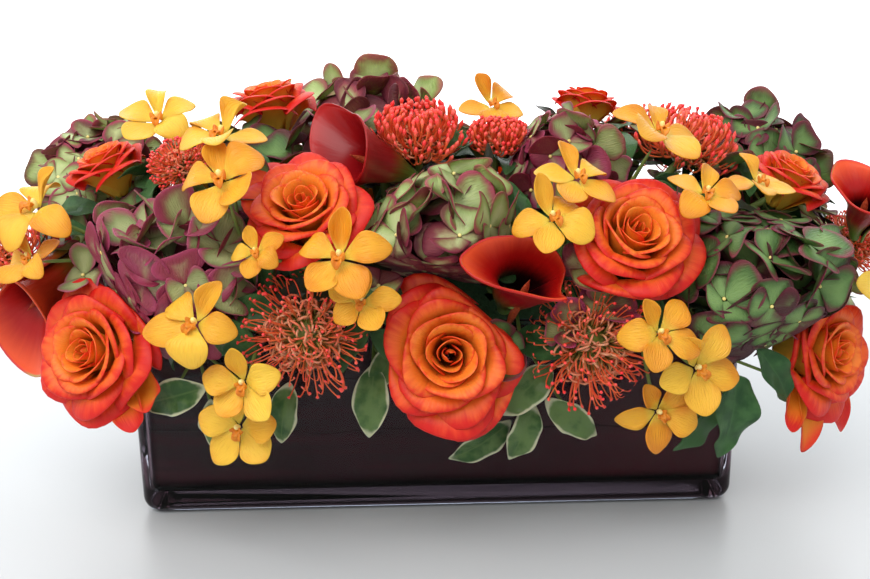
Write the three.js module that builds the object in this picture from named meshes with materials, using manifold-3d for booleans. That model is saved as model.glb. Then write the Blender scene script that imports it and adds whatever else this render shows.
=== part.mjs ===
// A low table centerpiece: roses, pincushions, hydrangeas, calla lilies, orchids and variegated leaves
// in a block of wet foam, which fills a rectangular glass vase lined with a dark leaf.
// Millimetres, +Z up. X runs along the vase, the front faces -Y, and the origin is the middle of the
// vase's underside.
import * as THREE from "three";
import { mergeVertices } from "three/addons/utils/BufferGeometryUtils.js";
import Module from "manifold-3d";

const wasm = await Module();
wasm.setup();

// ---------------------------------------------------------------- driving dimensions

const VASE = { length: 305, depth: 102, height: 102, wall: 5, floor: 11, corner: 10, foot: 8 };
const LINING = { wall: 1.4, drop: 3, foot: 3.5 }; // drop: how far it stops short of the rim
const FOAM = { proud: 23, corner: 3.5, edge: 2 }; // proud: how far it stands above the rim
const GAP = 0.3; // between any two pieces that touch
const PETAL = 1.1; // thickness of a petal, sepal or leaf

const foamTop = VASE.height + FOAM.proud;
const foamInset = VASE.wall + LINING.wall + 2 * GAP;
const foamHalf = { x: VASE.length / 2 - foamInset, y: VASE.depth / 2 - foamInset };

const STEM = {
  sides: 4,
  inFoam: 26, // how far it is pushed in
  fromWall: 8, // how far it stays from the foam's sides
  clear: 0.7, // room left between two stems, past the gap that each needs in its hole
  fromHeart: 4, // room left between a stem and another bloom's heart
  radius: { rose: 2.4, pincushion: 2.4, hydrangea: 2.8, calla: 3.2, orchid: 1.2, leaf: 1.1 },
  branch: 0.85, // a branch's thickness, as a share of its main stem's
};

// How blooms give way to each other: the outer share of a bloom's reach that gives, the share of the way
// between two hearts that each keeps, and how freely each kind gives way to its neighbour.
const PRESS = {
  outer: 0.35,
  kept: 0.3,
  softness: { rose: 0.6, pincushion: 0.8, hydrangea: 1.4, calla: 0.7, orchid: 0.6, leaf: 0.6 },
};

// Blooms face away from the heart of the arrangement, a line along the vase at this height. A bloom at x
// faces away from the line's point at spread * x.
const HEART = { spread: 0.72, height: 66 };

// Each bloom is [x, y, z of the middle of its face, width, roll in degrees], front ones first.
// Roll turns a bloom about the way it faces: 0 has its first petal, or its tip, to the right.
const ROSES = [
  [-166, -88, 105, 57, 10],
  [-61, -84, 176, 54, 40],
  [5, -108, 107, 68, 75],
  [92, -92, 161, 60, 0],
  [198, -66, 88, 56, 30],
  [-84, 8, 210, 50, 15],
  [-166, -12, 182, 44, 60],
  [182, -25, 172, 44, 20],
  [84, 32, 201, 38, 45],
  [-130, 58, 172, 52, 30],
  [-48, 96, 124, 62, 0],
  [66, 84, 162, 56, 50],
  [152, 86, 114, 58, 70],
];

const PINCUSHIONS = [
  [-63, -110, 122, 58, 0],
  [74, -108, 114, 60, 40],
  [-8, -36, 202, 46, 10],
  [33, -24, 196, 34, 60],
  [-124, -42, 190, 34, 0],
  [134, -4, 192, 56, 30],
  [-219, -33, 139, 46, 0],
  [228, -2, 134, 42, 50],
  [2, 82, 170, 54, 20],
  [124, 62, 180, 48, 0],
];

const HYDRANGEAS = [
  [-132, -84, 154, 80, 0],
  [2, -86, 170, 74, 20],
  [164, -86, 142, 82, 35],
  [63, -25, 194, 62, 10],
  [-182, 28, 182, 72, 50],
  [-34, 42, 202, 82, 0],
  [182, 32, 182, 72, 15],
  [-112, 96, 128, 80, 30],
  [34, 102, 124, 76, 0],
  [210, 46, 128, 70, 40],
];

// Callas are [x, y, z of the mouth, length, roll, way the mouth faces].
const CALLAS = [
  [38, -106, 148, 56, 190, [0.25, -0.85, 0.35]],
  [-47, -54, 194, 56, 150, [-0.8, -0.35, 0.55]],
  [-206, -50, 102, 66, 250, [-0.5, -0.6, -0.45]],
  [212, -34, 164, 46, 120, [-0.1, -0.35, 0.9]],
  [-196, 52, 122, 62, 20, [-0.7, 0.6, 0.3]],
];

// A spray is a list of flowers, [x, y, z, width, roll]. Its stem leads to the first one.
const ORCHID_SPRAYS = [
  [[-95, -90, 184, 44, 110], [-97, -66, 199, 42, 80]],
  [[-187, -56, 164, 46, 130], [-190, -64, 142, 34, 270]],
  [[-135, -14, 197, 44, 100]],
  [[-108, -108, 124, 42, 60]],
  [[-88, -110, 96, 38, 95], [-92, -103, 72, 40, 20]],
  [[-43, -112, 154, 42, 300], [-34, -112, 134, 32, 80], [-80, -104, 155, 26, 40]],
  [[64, -80, 180, 38, 100], [51, -98, 166, 38, 40]],
  [[106, -52, 194, 46, 90], [122, -82, 172, 36, 60], [152, -58, 171, 36, 20]],
  [[97, -116, 118, 38, 110], [116, -108, 98, 42, 50], [101, -100, 74, 38, 270]],
  [[30, -2, 207, 36, 45]],
  [[220, -44, 108, 48, 0]],
  [[-92, 98, 158, 42, 90], [-84, 76, 184, 40, 30]],
  [[102, 102, 142, 42, 60], [92, 104, 92, 40, 0]],
];

// A sprig is a list of leaves, [x, y, z, length, roll], hung over the vase's rim.
const LEAF_SPRIGS = [
  [[-126, -86, 80, 34, 200], [-107, -82, 62, 26, 280], [-74, -82, 68, 30, 260]],
  [[-32, -88, 76, 34, 265], [-24, -84, 94, 26, 60]],
  [[42, -92, 84, 36, 40], [20, -80, 50, 34, 215], [40, -84, 56, 30, 250], [64, -86, 64, 32, 320]],
  [[140, -86, 66, 46, 262], [126, -76, 54, 30, 230], [162, -80, 82, 34, 300]],
  [[-8, 82, 74, 36, 90], [-30, 78, 60, 30, 70], [10, 80, 56, 32, 110]],
  [[128, 78, 68, 38, 80], [150, 76, 78, 32, 120], [106, 78, 58, 30, 60]],
];

const FINISH = {
  glass: { color: 0xdfe8ea, roughness: 0.04, metalness: 0, transparent: true, opacity: 0.35 },
  lining: { color: 0x2a0d18, roughness: 0.4, metalness: 0 },
  foam: { color: 0x2f5b35, roughness: 0.95, metalness: 0 },
  rose: { color: 0xd8371d, roughness: 0.6, metalness: 0 },
  pincushion: { color: 0xe0521f, roughness: 0.5, metalness: 0 },
  hydrangea: { color: 0x8d9a52, roughness: 0.7, metalness: 0 },
  calla: { color: 0x8c1420, roughness: 0.4, metalness: 0 },
  orchid: { color: 0xf0a818, roughness: 0.5, metalness: 0 },
  leaf: { color: 0x7d8f58, roughness: 0.5, metalness: 0 },
};

// ---------------------------------------------------------------- small helpers

const TURN = 2 * Math.PI;
const GOLDEN = Math.PI * (3 - Math.sqrt(5));
const X_AXIS = new THREE.Vector3(1, 0, 0);
const Z_AXIS = new THREE.Vector3(0, 0, 1);
const SAME_POINT = 1e-4;
const { clamp, degToRad } = THREE.MathUtils;

// A geometry's bare positions, with equal corners merged, and without the faces that this leaves with no
// area.
function plain(geometry) {
  const bare = new THREE.BufferGeometry().setIndex(geometry.index);
  bare.setAttribute("position", geometry.getAttribute("position").clone());
  const merged = mergeVertices(bare, SAME_POINT);
  const kept = [];
  const corners = merged.index.array;
  for (let i = 0; i < corners.length; i += 3) {
    const [a, b, c] = [corners[i], corners[i + 1], corners[i + 2]];
    if (a !== b && b !== c && c !== a) kept.push(a, b, c);
  }
  return merged.setIndex(kept);
}

// A closed geometry as a solid that can be joined and cut.
function solid(geometry) {
  const { index, attributes } = plain(geometry);
  const vertProperties = new Float32Array(attributes.position.array);
  const triVerts = new Uint32Array(index.array);
  return new wasm.Manifold(new wasm.Mesh({ numProp: 3, vertProperties, triVerts }));
}

function geometryOf(body) {
  const mesh = body.getMesh();
  const corners = [];
  for (let i = 0; i < mesh.numVert; i++) {
    corners.push(...mesh.vertProperties.slice(i * mesh.numProp, i * mesh.numProp + 3));
  }
  const geometry = new THREE.BufferGeometry().setIndex([...mesh.triVerts]);
  geometry.setAttribute("position", new THREE.Float32BufferAttribute(corners, 3));
  geometry.computeVertexNormals();
  return geometry;
}

const joined = (bodies) => bodies.reduce((whole, body) => whole.add(body));
const largest = (body) => body.decompose().sort((a, b) => b.volume() - a.volume())[0];

function pointsOf(geometry) {
  const position = geometry.getAttribute("position");
  const point = (_, i) => new THREE.Vector3().fromBufferAttribute(position, i);
  return Array.from({ length: position.count }, point);
}

// A closed form about +Z: profile(turn) lists its [radius, height] from the axis below to the axis above.
function turned(segments, profile) {
  const stations = profile(0).length;
  const blank = profile(0).map((_, j) => new THREE.Vector2(1, j));
  const geometry = new THREE.LatheGeometry(blank, segments);
  const position = geometry.getAttribute("position");
  for (let i = 0; i <= segments; i++) {
    const turn = (TURN * (i % segments)) / segments;
    profile(turn).forEach(([radius, height], j) => {
      position.setXYZ(i * stations + j, radius * Math.cos(turn), radius * Math.sin(turn), height);
    });
  }
  return plain(geometry);
}

// A thin blade: outline(turn) is its reach, relief(turn) its edge's height, and `root` how far its back is
// drawn down to its stalk.
function blade(segments, outline, relief, root) {
  return turned(segments, (turn) => [
    [0, -root],
    [outline(turn), relief(turn)],
    [outline(turn), relief(turn) + PETAL],
    [0, 0.5 * PETAL],
  ]);
}

// ---------------------------------------------------------------- cores that florets are drawn out of

// A round core about the origin, as lists of corners and faces.
function roundCore(radius) {
  const ball = plain(new THREE.IcosahedronGeometry(radius, 1));
  const faces = [];
  for (let i = 0; i < ball.index.count; i += 3) faces.push([...ball.index.array.slice(i, i + 3)]);
  return { corners: pointsOf(ball), faces, spare: [...faces] };
}

// Takes `count` of a core's faces, spread evenly from its top down to `lowest` (of a height of 1).
function pickFaces({ corners, spare }, count, lowest) {
  const sum = (face) => face.reduce((total, corner) => total.add(corners[corner]), new THREE.Vector3());
  const middle = (face) => sum(face).divideScalar(face.length);
  return Array.from({ length: count }, (_, i) => {
    const height = 1 - ((1 - lowest) * (i + 0.4)) / count;
    const round = Math.sqrt(1 - height * height);
    const way = new THREE.Vector3(round * Math.cos(i * GOLDEN), round * Math.sin(i * GOLDEN), height);
    spare.sort((a, b) => middle(b).angleTo(way) - middle(a).angleTo(way));
    const face = spare.pop();
    return { face, middle: middle(face), way: middle(face).normalize() };
  });
}

// Swaps a face for what is drawn out of it: bands between rings of corners, then a peak or a flat end.
function drawOut({ corners, faces }, face, rings, peak) {
  faces.splice(faces.indexOf(face), 1);
  const add = (ring) => ring.map((corner) => corners.push(corner) - 1);
  let low = face;
  for (const ring of rings) {
    const high = add(ring);
    const below = (k) => low[Math.floor((k * low.length) / high.length)];
    for (let k = 0; k < high.length; k++) {
      const next = (k + 1) % high.length;
      faces.push([below(k), high[next], high[k]]);
      if (below(k) !== below(next)) faces.push([below(k), below(next), high[next]]);
    }
    low = high;
  }
  if (!peak) {
    faces.push(low);
    return;
  }
  const [top] = add([peak]);
  low.forEach((corner, k) => faces.push([corner, low[(k + 1) % low.length], top]));
}

function geometryFrom({ corners, faces }, lift) {
  const points = corners.flatMap(({ x, y, z }) => [x, y, z + lift]);
  const geometry = new THREE.BufferGeometry().setIndex(faces.flat());
  return geometry.setAttribute("position", new THREE.Float32BufferAttribute(points, 3));
}

// ---------------------------------------------------------------- blooms
// Each is built about the origin, facing +Z with its face's middle at 0 and its stem's end below, as a
// list of closed geometries. `depth` is how far below its face its heart lies. The dimensions are shares
// of its radius, or of its length.

// A rose: whorls of petals, each a lobed cup that stands inside the last one, round a bud.
const ROSE = {
  segments: 10,
  depth: 0.6,
  underside: [[0, -1.2], [0.3, -1.16], [0.82, -0.62]],
  lip: { width: 0.09, rise: 0.04 },
  whorls: [
    { reach: 0.96, lip: -0.16, valley: -0.5, petals: 5, phase: 0, bow: 0.06 },
    { reach: 0.73, lip: 0, valley: -0.36, petals: 5, phase: 0.63, bow: 0.05 },
    { reach: 0.5, lip: 0.05, valley: -0.24, petals: 3, phase: 0.3, bow: 0.04 },
  ],
  bud: [[0.27, 0.06], [0, 0.12]],
};

function rose(width) {
  const r = width / 2;
  const profile = (turn) => {
    const stations = [...ROSE.underside];
    ROSE.whorls.forEach(({ reach, lip, valley, petals, phase, bow }, i) => {
      const swell = bow * Math.cos(petals * (turn - phase));
      const inner = ROSE.whorls[i + 1]?.reach ?? ROSE.bud[0][0];
      stations.push([reach + swell, lip + swell]);
      stations.push([reach + swell - ROSE.lip.width, lip + swell + ROSE.lip.rise]);
      stations.push([inner - 0.02, valley]);
    });
    return [...stations, ...ROSE.bud].map(([radius, height]) => [radius * r, height * r]);
  };
  return { parts: [turned(ROSE.segments, profile)], depth: ROSE.depth * r };
}

// A pincushion: a domed core with slim styles drawn out of it all over, each widening to a club.
const PINCUSHION = {
  core: 0.46,
  depth: 0.62,
  lowest: -0.25,
  reach: 0.98,
  shaft: 0.9, // mm
  club: 1.7, // mm
};

function pincushion(width) {
  const r = width / 2;
  const styles = width > 40 ? 19 : 15;
  const core = roundCore(PINCUSHION.core * r);
  for (const { face, middle, way } of pickFaces(core, styles, PINCUSHION.lowest)) {
    const ring = (level, size) =>
      face.map((corner) => {
        const arm = core.corners[corner].clone().sub(middle).projectOnPlane(way).setLength(size);
        return arm.addScaledVector(way, level);
      });
    const shaft = ring(middle.length(), PINCUSHION.shaft);
    const club = ring(PINCUSHION.reach * r, PINCUSHION.club);
    drawOut(core, face, [shaft, club]);
  }
  const depth = PINCUSHION.depth * r;
  return { parts: [geometryFrom(core, -depth)], depth };
}

// A hydrangea head: a domed core with four-sepalled florets drawn out of it, each in a space of its own.
const HYDRANGEA = {
  core: 0.7,
  depth: 0.78,
  florets: 8,
  lowest: -0.1,
  level: 0.87, // of a floret's middle
  corners: 8, // of a floret's rim, by turns a notch and a sepal's tip
  notch: 0.38,
  sepal: 0.62,
  cup: 0.1,
  share: 0.47, // of the way to the next floret that a sepal may take up
};

// How far a sepal may reach along `arm` before it takes up its neighbour's space.
function roomFor(arm, toNeighbour) {
  const slope = toNeighbour.dot(arm);
  return slope > SAME_POINT ? (HYDRANGEA.share * toNeighbour.lengthSq()) / slope : Infinity;
}

function hydrangea(width) {
  const r = width / 2;
  const core = roundCore(HYDRANGEA.core * r);
  const picked = pickFaces(core, HYDRANGEA.florets, HYDRANGEA.lowest);
  const middles = picked.map(({ way }) => way.clone().multiplyScalar(HYDRANGEA.level * r));
  picked.forEach(({ face, middle, way }, i) => {
    const first = core.corners[face[0]].clone().sub(middle).projectOnPlane(way).normalize();
    const ways = middles.map((other) => other.clone().sub(middles[i]));
    const rim = Array.from({ length: HYDRANGEA.corners }, (_, k) => {
      const turn = (TURN * k) / HYDRANGEA.corners;
      const arm = first.clone().applyAxisAngle(way, turn);
      const wish = r * (k % 2 ? HYDRANGEA.sepal : HYDRANGEA.notch);
      const reach = Math.min(wish, ...ways.map((toNeighbour) => roomFor(arm, toNeighbour)));
      const cup = HYDRANGEA.cup * r * (1 + Math.cos(2 * turn));
      return middles[i].clone().addScaledVector(arm, reach).addScaledVector(way, cup);
    });
    const top = rim.map((corner) => corner.clone().addScaledVector(way, PETAL));
    drawOut(core, face, [rim, top], middles[i].clone());
  });
  const depth = HYDRANGEA.depth * r;
  return { parts: [geometryFrom(core, -depth)], depth };
}

// A calla lily: a flared, pointed spathe rolled round its spadix.
const CALLA = {
  segments: 10,
  depth: 0.5,
  foot: 0.072,
  neck: 0.168,
  mouth: 0.3,
  point: { reach: 0.75, rise: 0.1, tilt: 0.06, drop: 0.02 }, // how its lip runs out to its tip
  spadix: { radius: 1.9, sides: 5, low: -0.5, high: -0.12, end: 0.06 }, // radius in mm
};

function calla(length) {
  const { foot, neck, mouth, point, spadix } = CALLA;
  const spathe = (turn) => {
    const tip = Math.max(0, Math.cos(turn)) ** 3;
    const rim = mouth * (1 + point.reach * tip) * length;
    const lip = (point.rise * tip - point.tilt * Math.cos(turn) - point.drop) * length;
    return [
      [0, -0.78 * length],
      [foot * length, -0.74 * length],
      [neck * length, -0.3 * length],
      [rim, lip],
      [rim - GAP, lip + PETAL],
      [neck * length - PETAL, -0.22 * length],
      [0, spadix.low * length],
    ];
  };
  const core = () => [
    [0, (spadix.low - spadix.end) * length],
    [spadix.radius, spadix.low * length],
    [spadix.radius, spadix.high * length],
    [0, (spadix.high + spadix.end) * length],
  ];
  const parts = [turned(CALLA.segments, spathe), turned(spadix.sides, core)];
  return { parts, depth: CALLA.depth * length };
}

// An orchid flower: five spoon-shaped petals, each with a corner at its root and two at its end.
const ORCHID = { petals: 5, spoon: [0.34, 0.96, 1], lift: 0.12, root: 0.16 };

function orchid(width) {
  const r = width / 2;
  const corners = ORCHID.petals * ORCHID.spoon.length;
  const step = (turn) => Math.round((corners * turn) / TURN) % ORCHID.spoon.length;
  const outline = (turn) => r * ORCHID.spoon[step(turn)];
  const relief = (turn) => (step(turn) ? ORCHID.lift * r : 0);
  const root = ORCHID.root * r;
  return { parts: [blade(corners, outline, relief, root)], depth: 0.7 * root };
}

// A leaf: an oval blade with a wavy edge, along its own +X.
const LEAF = { corners: 8, width: 0.46, wave: 0.12, droop: 0.18, root: 2 }; // root in mm

function leaf(length) {
  const r = length / 2;
  const oval = (turn) => r / Math.hypot(Math.cos(turn), Math.sin(turn) / LEAF.width);
  const relief = (turn) => r * (LEAF.wave * Math.cos(3 * turn) - LEAF.droop * Math.cos(turn) ** 2);
  return { parts: [blade(LEAF.corners, oval, relief, LEAF.root)], depth: 0.7 * LEAF.root };
}

// ---------------------------------------------------------------- placing the blooms

// The way a bloom faces when its row gives none: away from the heart of the arrangement.
function outward([x, y, z]) {
  return new THREE.Vector3(x - x * HEART.spread, y, z - HEART.height);
}

// The turn that carries +Z to a bloom's facing, with its roll measured from the viewer's right.
function bearing(facing, roll) {
  const upright = Math.abs(facing.z) > 0.9;
  const across = upright ? X_AXIS.clone() : new THREE.Vector3().crossVectors(Z_AXIS, facing);
  const right = across.projectOnPlane(facing).normalize();
  const over = new THREE.Vector3().crossVectors(facing, right);
  const frame = new THREE.Matrix4().makeBasis(right, over, facing);
  return frame.multiply(new THREE.Matrix4().makeRotationZ(degToRad(roll)));
}

function placed(build, [x, y, z, width, roll, way]) {
  const facing = way ? new THREE.Vector3(...way) : outward([x, y, z]);
  const { parts, depth } = build(width);
  const turn = bearing(facing.normalize(), roll).setPosition(x, y, z);
  parts.forEach((part) => part.applyMatrix4(turn));
  const heart = new THREE.Vector3(0, 0, -depth).applyMatrix4(turn);
  return { parts, heart, planes: [], reach: width / 2 };
}

const GROUPS = [
  { kind: "rose", name: "rose", build: rose, list: ROSES.map((row) => [row]) },
  { kind: "pincushion", name: "pincushion", build: pincushion, list: PINCUSHIONS.map((row) => [row]) },
  { kind: "hydrangea", name: "hydrangea", build: hydrangea, list: HYDRANGEAS.map((row) => [row]) },
  { kind: "calla", name: "calla", build: calla, list: CALLAS.map((row) => [row]) },
  { kind: "orchid", name: "orchid_spray", build: orchid, list: ORCHID_SPRAYS },
  { kind: "leaf", name: "leaf_sprig", build: leaf, list: LEAF_SPRIGS },
];

const pieces = GROUPS.flatMap(({ kind, name, build, list }) =>
  list.map((rows, i) => {
    const owner = `${name}_${String(i + 1).padStart(2, "0")}`;
    const softness = PRESS.softness[kind];
    const units = rows.map((row) => ({ ...placed(build, row), owner, softness }));
    return { owner, kind, units };
  }),
);
const blooms = pieces.flatMap((piece) => piece.units);

// The vase and the foam's proud top, which blooms give way to and which stand fast themselves.
function holder(owner, length, depth, low, high) {
  const box = new THREE.BoxGeometry(length, depth, high - low).translate(0, 0, (high + low) / 2);
  return { owner, fixed: true, parts: [box], heart: new THREE.Vector3(0, 0, (high + low) / 2) };
}

const holders = [
  holder("vase", VASE.length, VASE.depth, 0, VASE.height),
  holder("floral_foam", 2 * foamHalf.x, 2 * foamHalf.y, VASE.height, foamTop),
];

// ---------------------------------------------------------------- pressing neighbours apart

// Directions spread evenly over a sphere.
const DIRECTION_COUNT = 160;
const DIRECTIONS = Array.from({ length: DIRECTION_COUNT }, (_, i) => {
  const z = 1 - (2 * i + 1) / DIRECTION_COUNT;
  const r = Math.sqrt(1 - z * z);
  return new THREE.Vector3(r * Math.cos(i * GOLDEN), r * Math.sin(i * GOLDEN), z);
});

// The plane that parts two neighbours with the least give, or null where they already stand clear.
function parting(a, b) {
  const between = b.heart.clone().sub(a.heart).normalize();
  const slanting = DIRECTIONS.filter((way) => way.dot(between) > 0.1);
  let best = null;
  for (const way of [between, ...slanting]) {
    const high = Math.max(...a.corners.map((corner) => corner.dot(way)));
    const low = Math.min(...b.corners.map((corner) => corner.dot(way)));
    const press = high - low + GAP;
    if (press <= 0) return null;
    const from = a.heart.dot(way);
    const to = b.fixed ? low : b.heart.dot(way);
    const cost = press / Math.max(to - from, 0.5);
    if (!best || cost < best.cost) best = { way, high, low, press, from, to, cost };
  }
  return best;
}

// Gives each two neighbours from different pieces a plane that each of them stays behind.
function partNeighbours(units) {
  for (const unit of units) {
    unit.corners = unit.parts.flatMap(pointsOf);
    unit.extent = Math.max(...unit.corners.map((corner) => corner.distanceTo(unit.heart)));
  }
  units.forEach((a, i) => {
    for (const b of units.slice(i + 1)) {
      if (a.fixed || a.owner === b.owner) continue;
      if (a.heart.distanceTo(b.heart) > a.extent + b.extent) continue;
      const plane = parting(a, b);
      if (!plane) continue;
      const { way, high, low, press, from, to } = plane;
      if (b.fixed) {
        a.planes.push({ way, level: low - GAP });
        continue;
      }
      const kept = PRESS.kept * (to - from);
      const share = a.softness / (a.softness + b.softness);
      const level = clamp(high - press * share, from + kept, to - kept);
      a.planes.push({ way, level });
      b.planes.push({ way: way.clone().negate(), level: -(level + GAP) });
    }
  });
}

// How far a bloom may reach from its heart along `way`.
function limitAlong(unit, way) {
  let limit = Infinity;
  for (const plane of unit.planes) {
    const slope = plane.way.dot(way);
    if (slope > SAME_POINT) limit = Math.min(limit, (plane.level - plane.way.dot(unit.heart)) / slope);
  }
  if (limit <= 0) throw new Error(`the heart of ${unit.owner} lies past a neighbour's plane`);
  return limit;
}

// Presses a bloom in towards its heart wherever it would pass one of its planes.
function pressIn(unit) {
  for (const part of unit.parts) {
    pointsOf(part).forEach((point, i) => {
      const arm = point.sub(unit.heart);
      const length = arm.length();
      if (length < SAME_POINT) return;
      const way = arm.divideScalar(length);
      const limit = limitAlong(unit, way);
      if (length <= (1 - PRESS.outer) * limit || limit === Infinity) return;
      const soft = PRESS.outer * limit;
      const pressed = limit - soft * Math.exp(-(length - limit + soft) / soft);
      const { x, y, z } = unit.heart.clone().addScaledVector(way, pressed);
      part.getAttribute("position").setXYZ(i, x, y, z);
    });
  }
}

partNeighbours([...blooms, ...holders]);
blooms.forEach(pressIn);

// ---------------------------------------------------------------- stems

// A stem's way: straight stretches between its points, with a mitred bend at each.
class Stalk extends THREE.Curve {
  constructor(points) {
    super();
    this.points = points;
  }

  getPoint(share) {
    const along = share * (this.points.length - 1);
    const i = Math.min(Math.floor(along), this.points.length - 2);
    return this.points[i].clone().lerp(this.points[i + 1], along - i);
  }

  getPointAt(share) {
    return this.getPoint(share);
  }

  getTangentAt(share) {
    const last = this.points.length - 1;
    const at = Math.round(share * last);
    const here = this.points[at];
    const into = here.clone().sub(this.points[Math.max(at - 1, 0)]).normalize();
    const out = this.points[Math.min(at + 1, last)].clone().sub(here).normalize();
    return into.add(out).normalize();
  }
}

// A stem is { owner, path, radius }; `room` makes the hole that it needs instead.
function stemBody({ path, radius }, room = 0) {
  const section = new THREE.Shape();
  for (let i = 0; i < STEM.sides; i++) {
    const turn = (TURN * i) / STEM.sides;
    const corner = [(radius + room) * Math.cos(turn), (radius + room) * Math.sin(turn)];
    if (i) section.lineTo(...corner);
    else section.moveTo(...corner);
  }
  section.closePath();
  const settings = { steps: path.length - 1, bevelEnabled: false, extrudePath: new Stalk(path) };
  return solid(new THREE.ExtrudeGeometry(section, settings));
}

const stretches = (path) => path.slice(1).map((point, i) => new THREE.Line3(path[i], point));

// The shortest distance between two paths. A path of one point taken twice stands for that point.
function distance(path, other) {
  const squares = stretches(path).flatMap((one) =>
    stretches(other).map((two) => one.distanceSqToLine3(two)),
  );
  return Math.sqrt(Math.min(...squares));
}

// Whether a stem passes clear of every other piece's stems and blooms' hearts.
function isClear(stem, stems) {
  const foreign = ({ owner }) => owner !== stem.owner;
  const clearOf = ({ path, radius }) => {
    return distance(stem.path, path) > stem.radius + radius + 2 * GAP + STEM.clear;
  };
  const clearOfHeart = ({ heart }) => distance(stem.path, [heart, heart]) > stem.radius + STEM.fromHeart;
  return stems.filter(foreign).every(clearOf) && blooms.filter(foreign).every(clearOfHeart);
}

// How stems go in. Blooms high over the foam come down through its top; the others come over the rim and
// through one of the foam's proud sides, or its ends. The shares are of a bloom's own x and y.
const ROUTE = {
  above: { height: 18, reach: 70, x: 0.74, y: 0.4, steepest: 0.6 },
  side: { x: 0.9, inward: 0.3 },
  end: { past: 34, y: 0.4 },
  belowTop: 11,
  overRim: 3,
  underTop: 2,
  fall: 0.35,
  tries: 240,
  step: 1.6, // by how much the tries stray further and further
};

const within = (value, axis) => {
  const limit = foamHalf[axis] - STEM.fromWall;
  return clamp(value, -limit, limit);
};

function pathFromAbove(heart, stray) {
  const { above } = ROUTE;
  const [x, y] = [within(above.x * heart.x + stray.x, "x"), within(above.y * heart.y + stray.y, "y")];
  const entry = new THREE.Vector3(x, y, foamTop);
  const lean = entry.clone().sub(heart).normalize();
  const end = entry.addScaledVector(lean, STEM.inFoam / Math.max(above.steepest, -lean.z));
  return [heart, end.set(within(end.x, "x"), within(end.y, "y"), end.z)];
}

function pathOverRim(heart, radius, stray) {
  const [lowest, highest] = [VASE.height + radius + ROUTE.overRim, foamTop - radius - ROUTE.underTop];
  const z = clamp(foamTop - ROUTE.belowTop + stray.z, lowest, highest);
  const [left, front] = [Math.sign(heart.x), Math.sign(heart.y)];
  const byEnd = Math.abs(heart.x) > foamHalf.x + ROUTE.end.past;
  const entry = byEnd
    ? new THREE.Vector3(left * foamHalf.x, within(ROUTE.end.y * heart.y + stray.y, "y"), z)
    : new THREE.Vector3(within(ROUTE.side.x * heart.x + stray.x, "x"), front * foamHalf.y, z);
  const inward = byEnd
    ? new THREE.Vector3(-left, 0, -ROUTE.fall)
    : new THREE.Vector3(-ROUTE.side.inward * left, -front, -ROUTE.fall);
  inward.normalize();
  const bend = entry.clone().addScaledVector(inward, -1.6 * radius - 1);
  return [heart, bend, entry.addScaledVector(inward, STEM.inFoam)];
}

// How much of other blooms' room a stem takes up.
function crowding({ owner, path, radius }) {
  const taken = ({ heart, reach }) => Math.max(0, 0.8 * reach + radius - distance(path, [heart, heart]));
  const foreign = blooms.filter((bloom) => bloom.owner !== owner);
  return foreign.reduce((sum, bloom) => sum + taken(bloom) ** 2, 0);
}

// A piece's main stem, from its first bloom's heart into the foam, kept clear of the stems already there.
function mainStem({ owner, kind, units: [{ heart }] }, stems) {
  const radius = STEM.radius[kind];
  const { above } = ROUTE;
  const fromAbove = heart.z > foamTop + above.height && Math.abs(heart.y) < above.reach;
  let best = null;
  for (let i = 0; i < ROUTE.tries; i++) {
    const spread = ROUTE.step * Math.sqrt(i);
    const stray = {
      x: spread * Math.cos(i * GOLDEN),
      y: 0.6 * spread * Math.sin(1.7 * i),
      z: 0.5 * spread * Math.sin(i * GOLDEN),
    };
    const path = fromAbove ? pathFromAbove(heart, stray) : pathOverRim(heart, radius, stray);
    const stem = { owner, path, radius };
    if (!isClear(stem, stems)) continue;
    const cost = crowding(stem) + 2 * spread;
    if (!best || cost < best.cost) best = { stem, cost };
  }
  if (!best) throw new Error(`no room in the foam for the stem of ${owner}`);
  return best.stem;
}

// A branch from a spray's further flower to the clearest point of its main stem's first stretch.
function branch({ owner, heart }, trunk, stems) {
  const radius = STEM.branch * trunk.radius;
  for (let i = 0; i < 40; i++) {
    const share = 0.5 + 0.011 * i * (i % 2 ? 1 : -1);
    const fork = trunk.path[0].clone().lerp(trunk.path[1], share);
    const stem = { owner, path: [heart, fork], radius };
    if (isClear(stem, stems)) return stem;
  }
  throw new Error(`no clear way for a branch of ${owner}`);
}

const mainStems = [];
for (const piece of pieces) mainStems.push(mainStem(piece, mainStems));

const stems = [...mainStems];
pieces.forEach(({ units }, i) => {
  for (const unit of units.slice(1)) stems.push(branch(unit, mainStems[i], stems));
});

// ---------------------------------------------------------------- vase, lining and foam

// A block with round upright corners, and round edges above and below.
function roundedBlock({ length, depth, height }, corner, edge, edgeSteps) {
  const [x, y] = [length / 2 - corner, depth / 2 - corner];
  const outline = new THREE.Shape();
  outline.absarc(x, y, corner, 0, TURN / 4);
  outline.absarc(-x, y, corner, TURN / 4, TURN / 2);
  outline.absarc(-x, -y, corner, TURN / 2, 0.75 * TURN);
  outline.absarc(x, -y, corner, 0.75 * TURN, TURN);
  return new THREE.ExtrudeGeometry(outline, {
    depth: height - 2 * edge,
    curveSegments: 2,
    bevelThickness: edge,
    bevelSize: edge,
    bevelOffset: -edge,
    bevelSegments: edgeSteps,
  }).translate(0, 0, edge);
}

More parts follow.
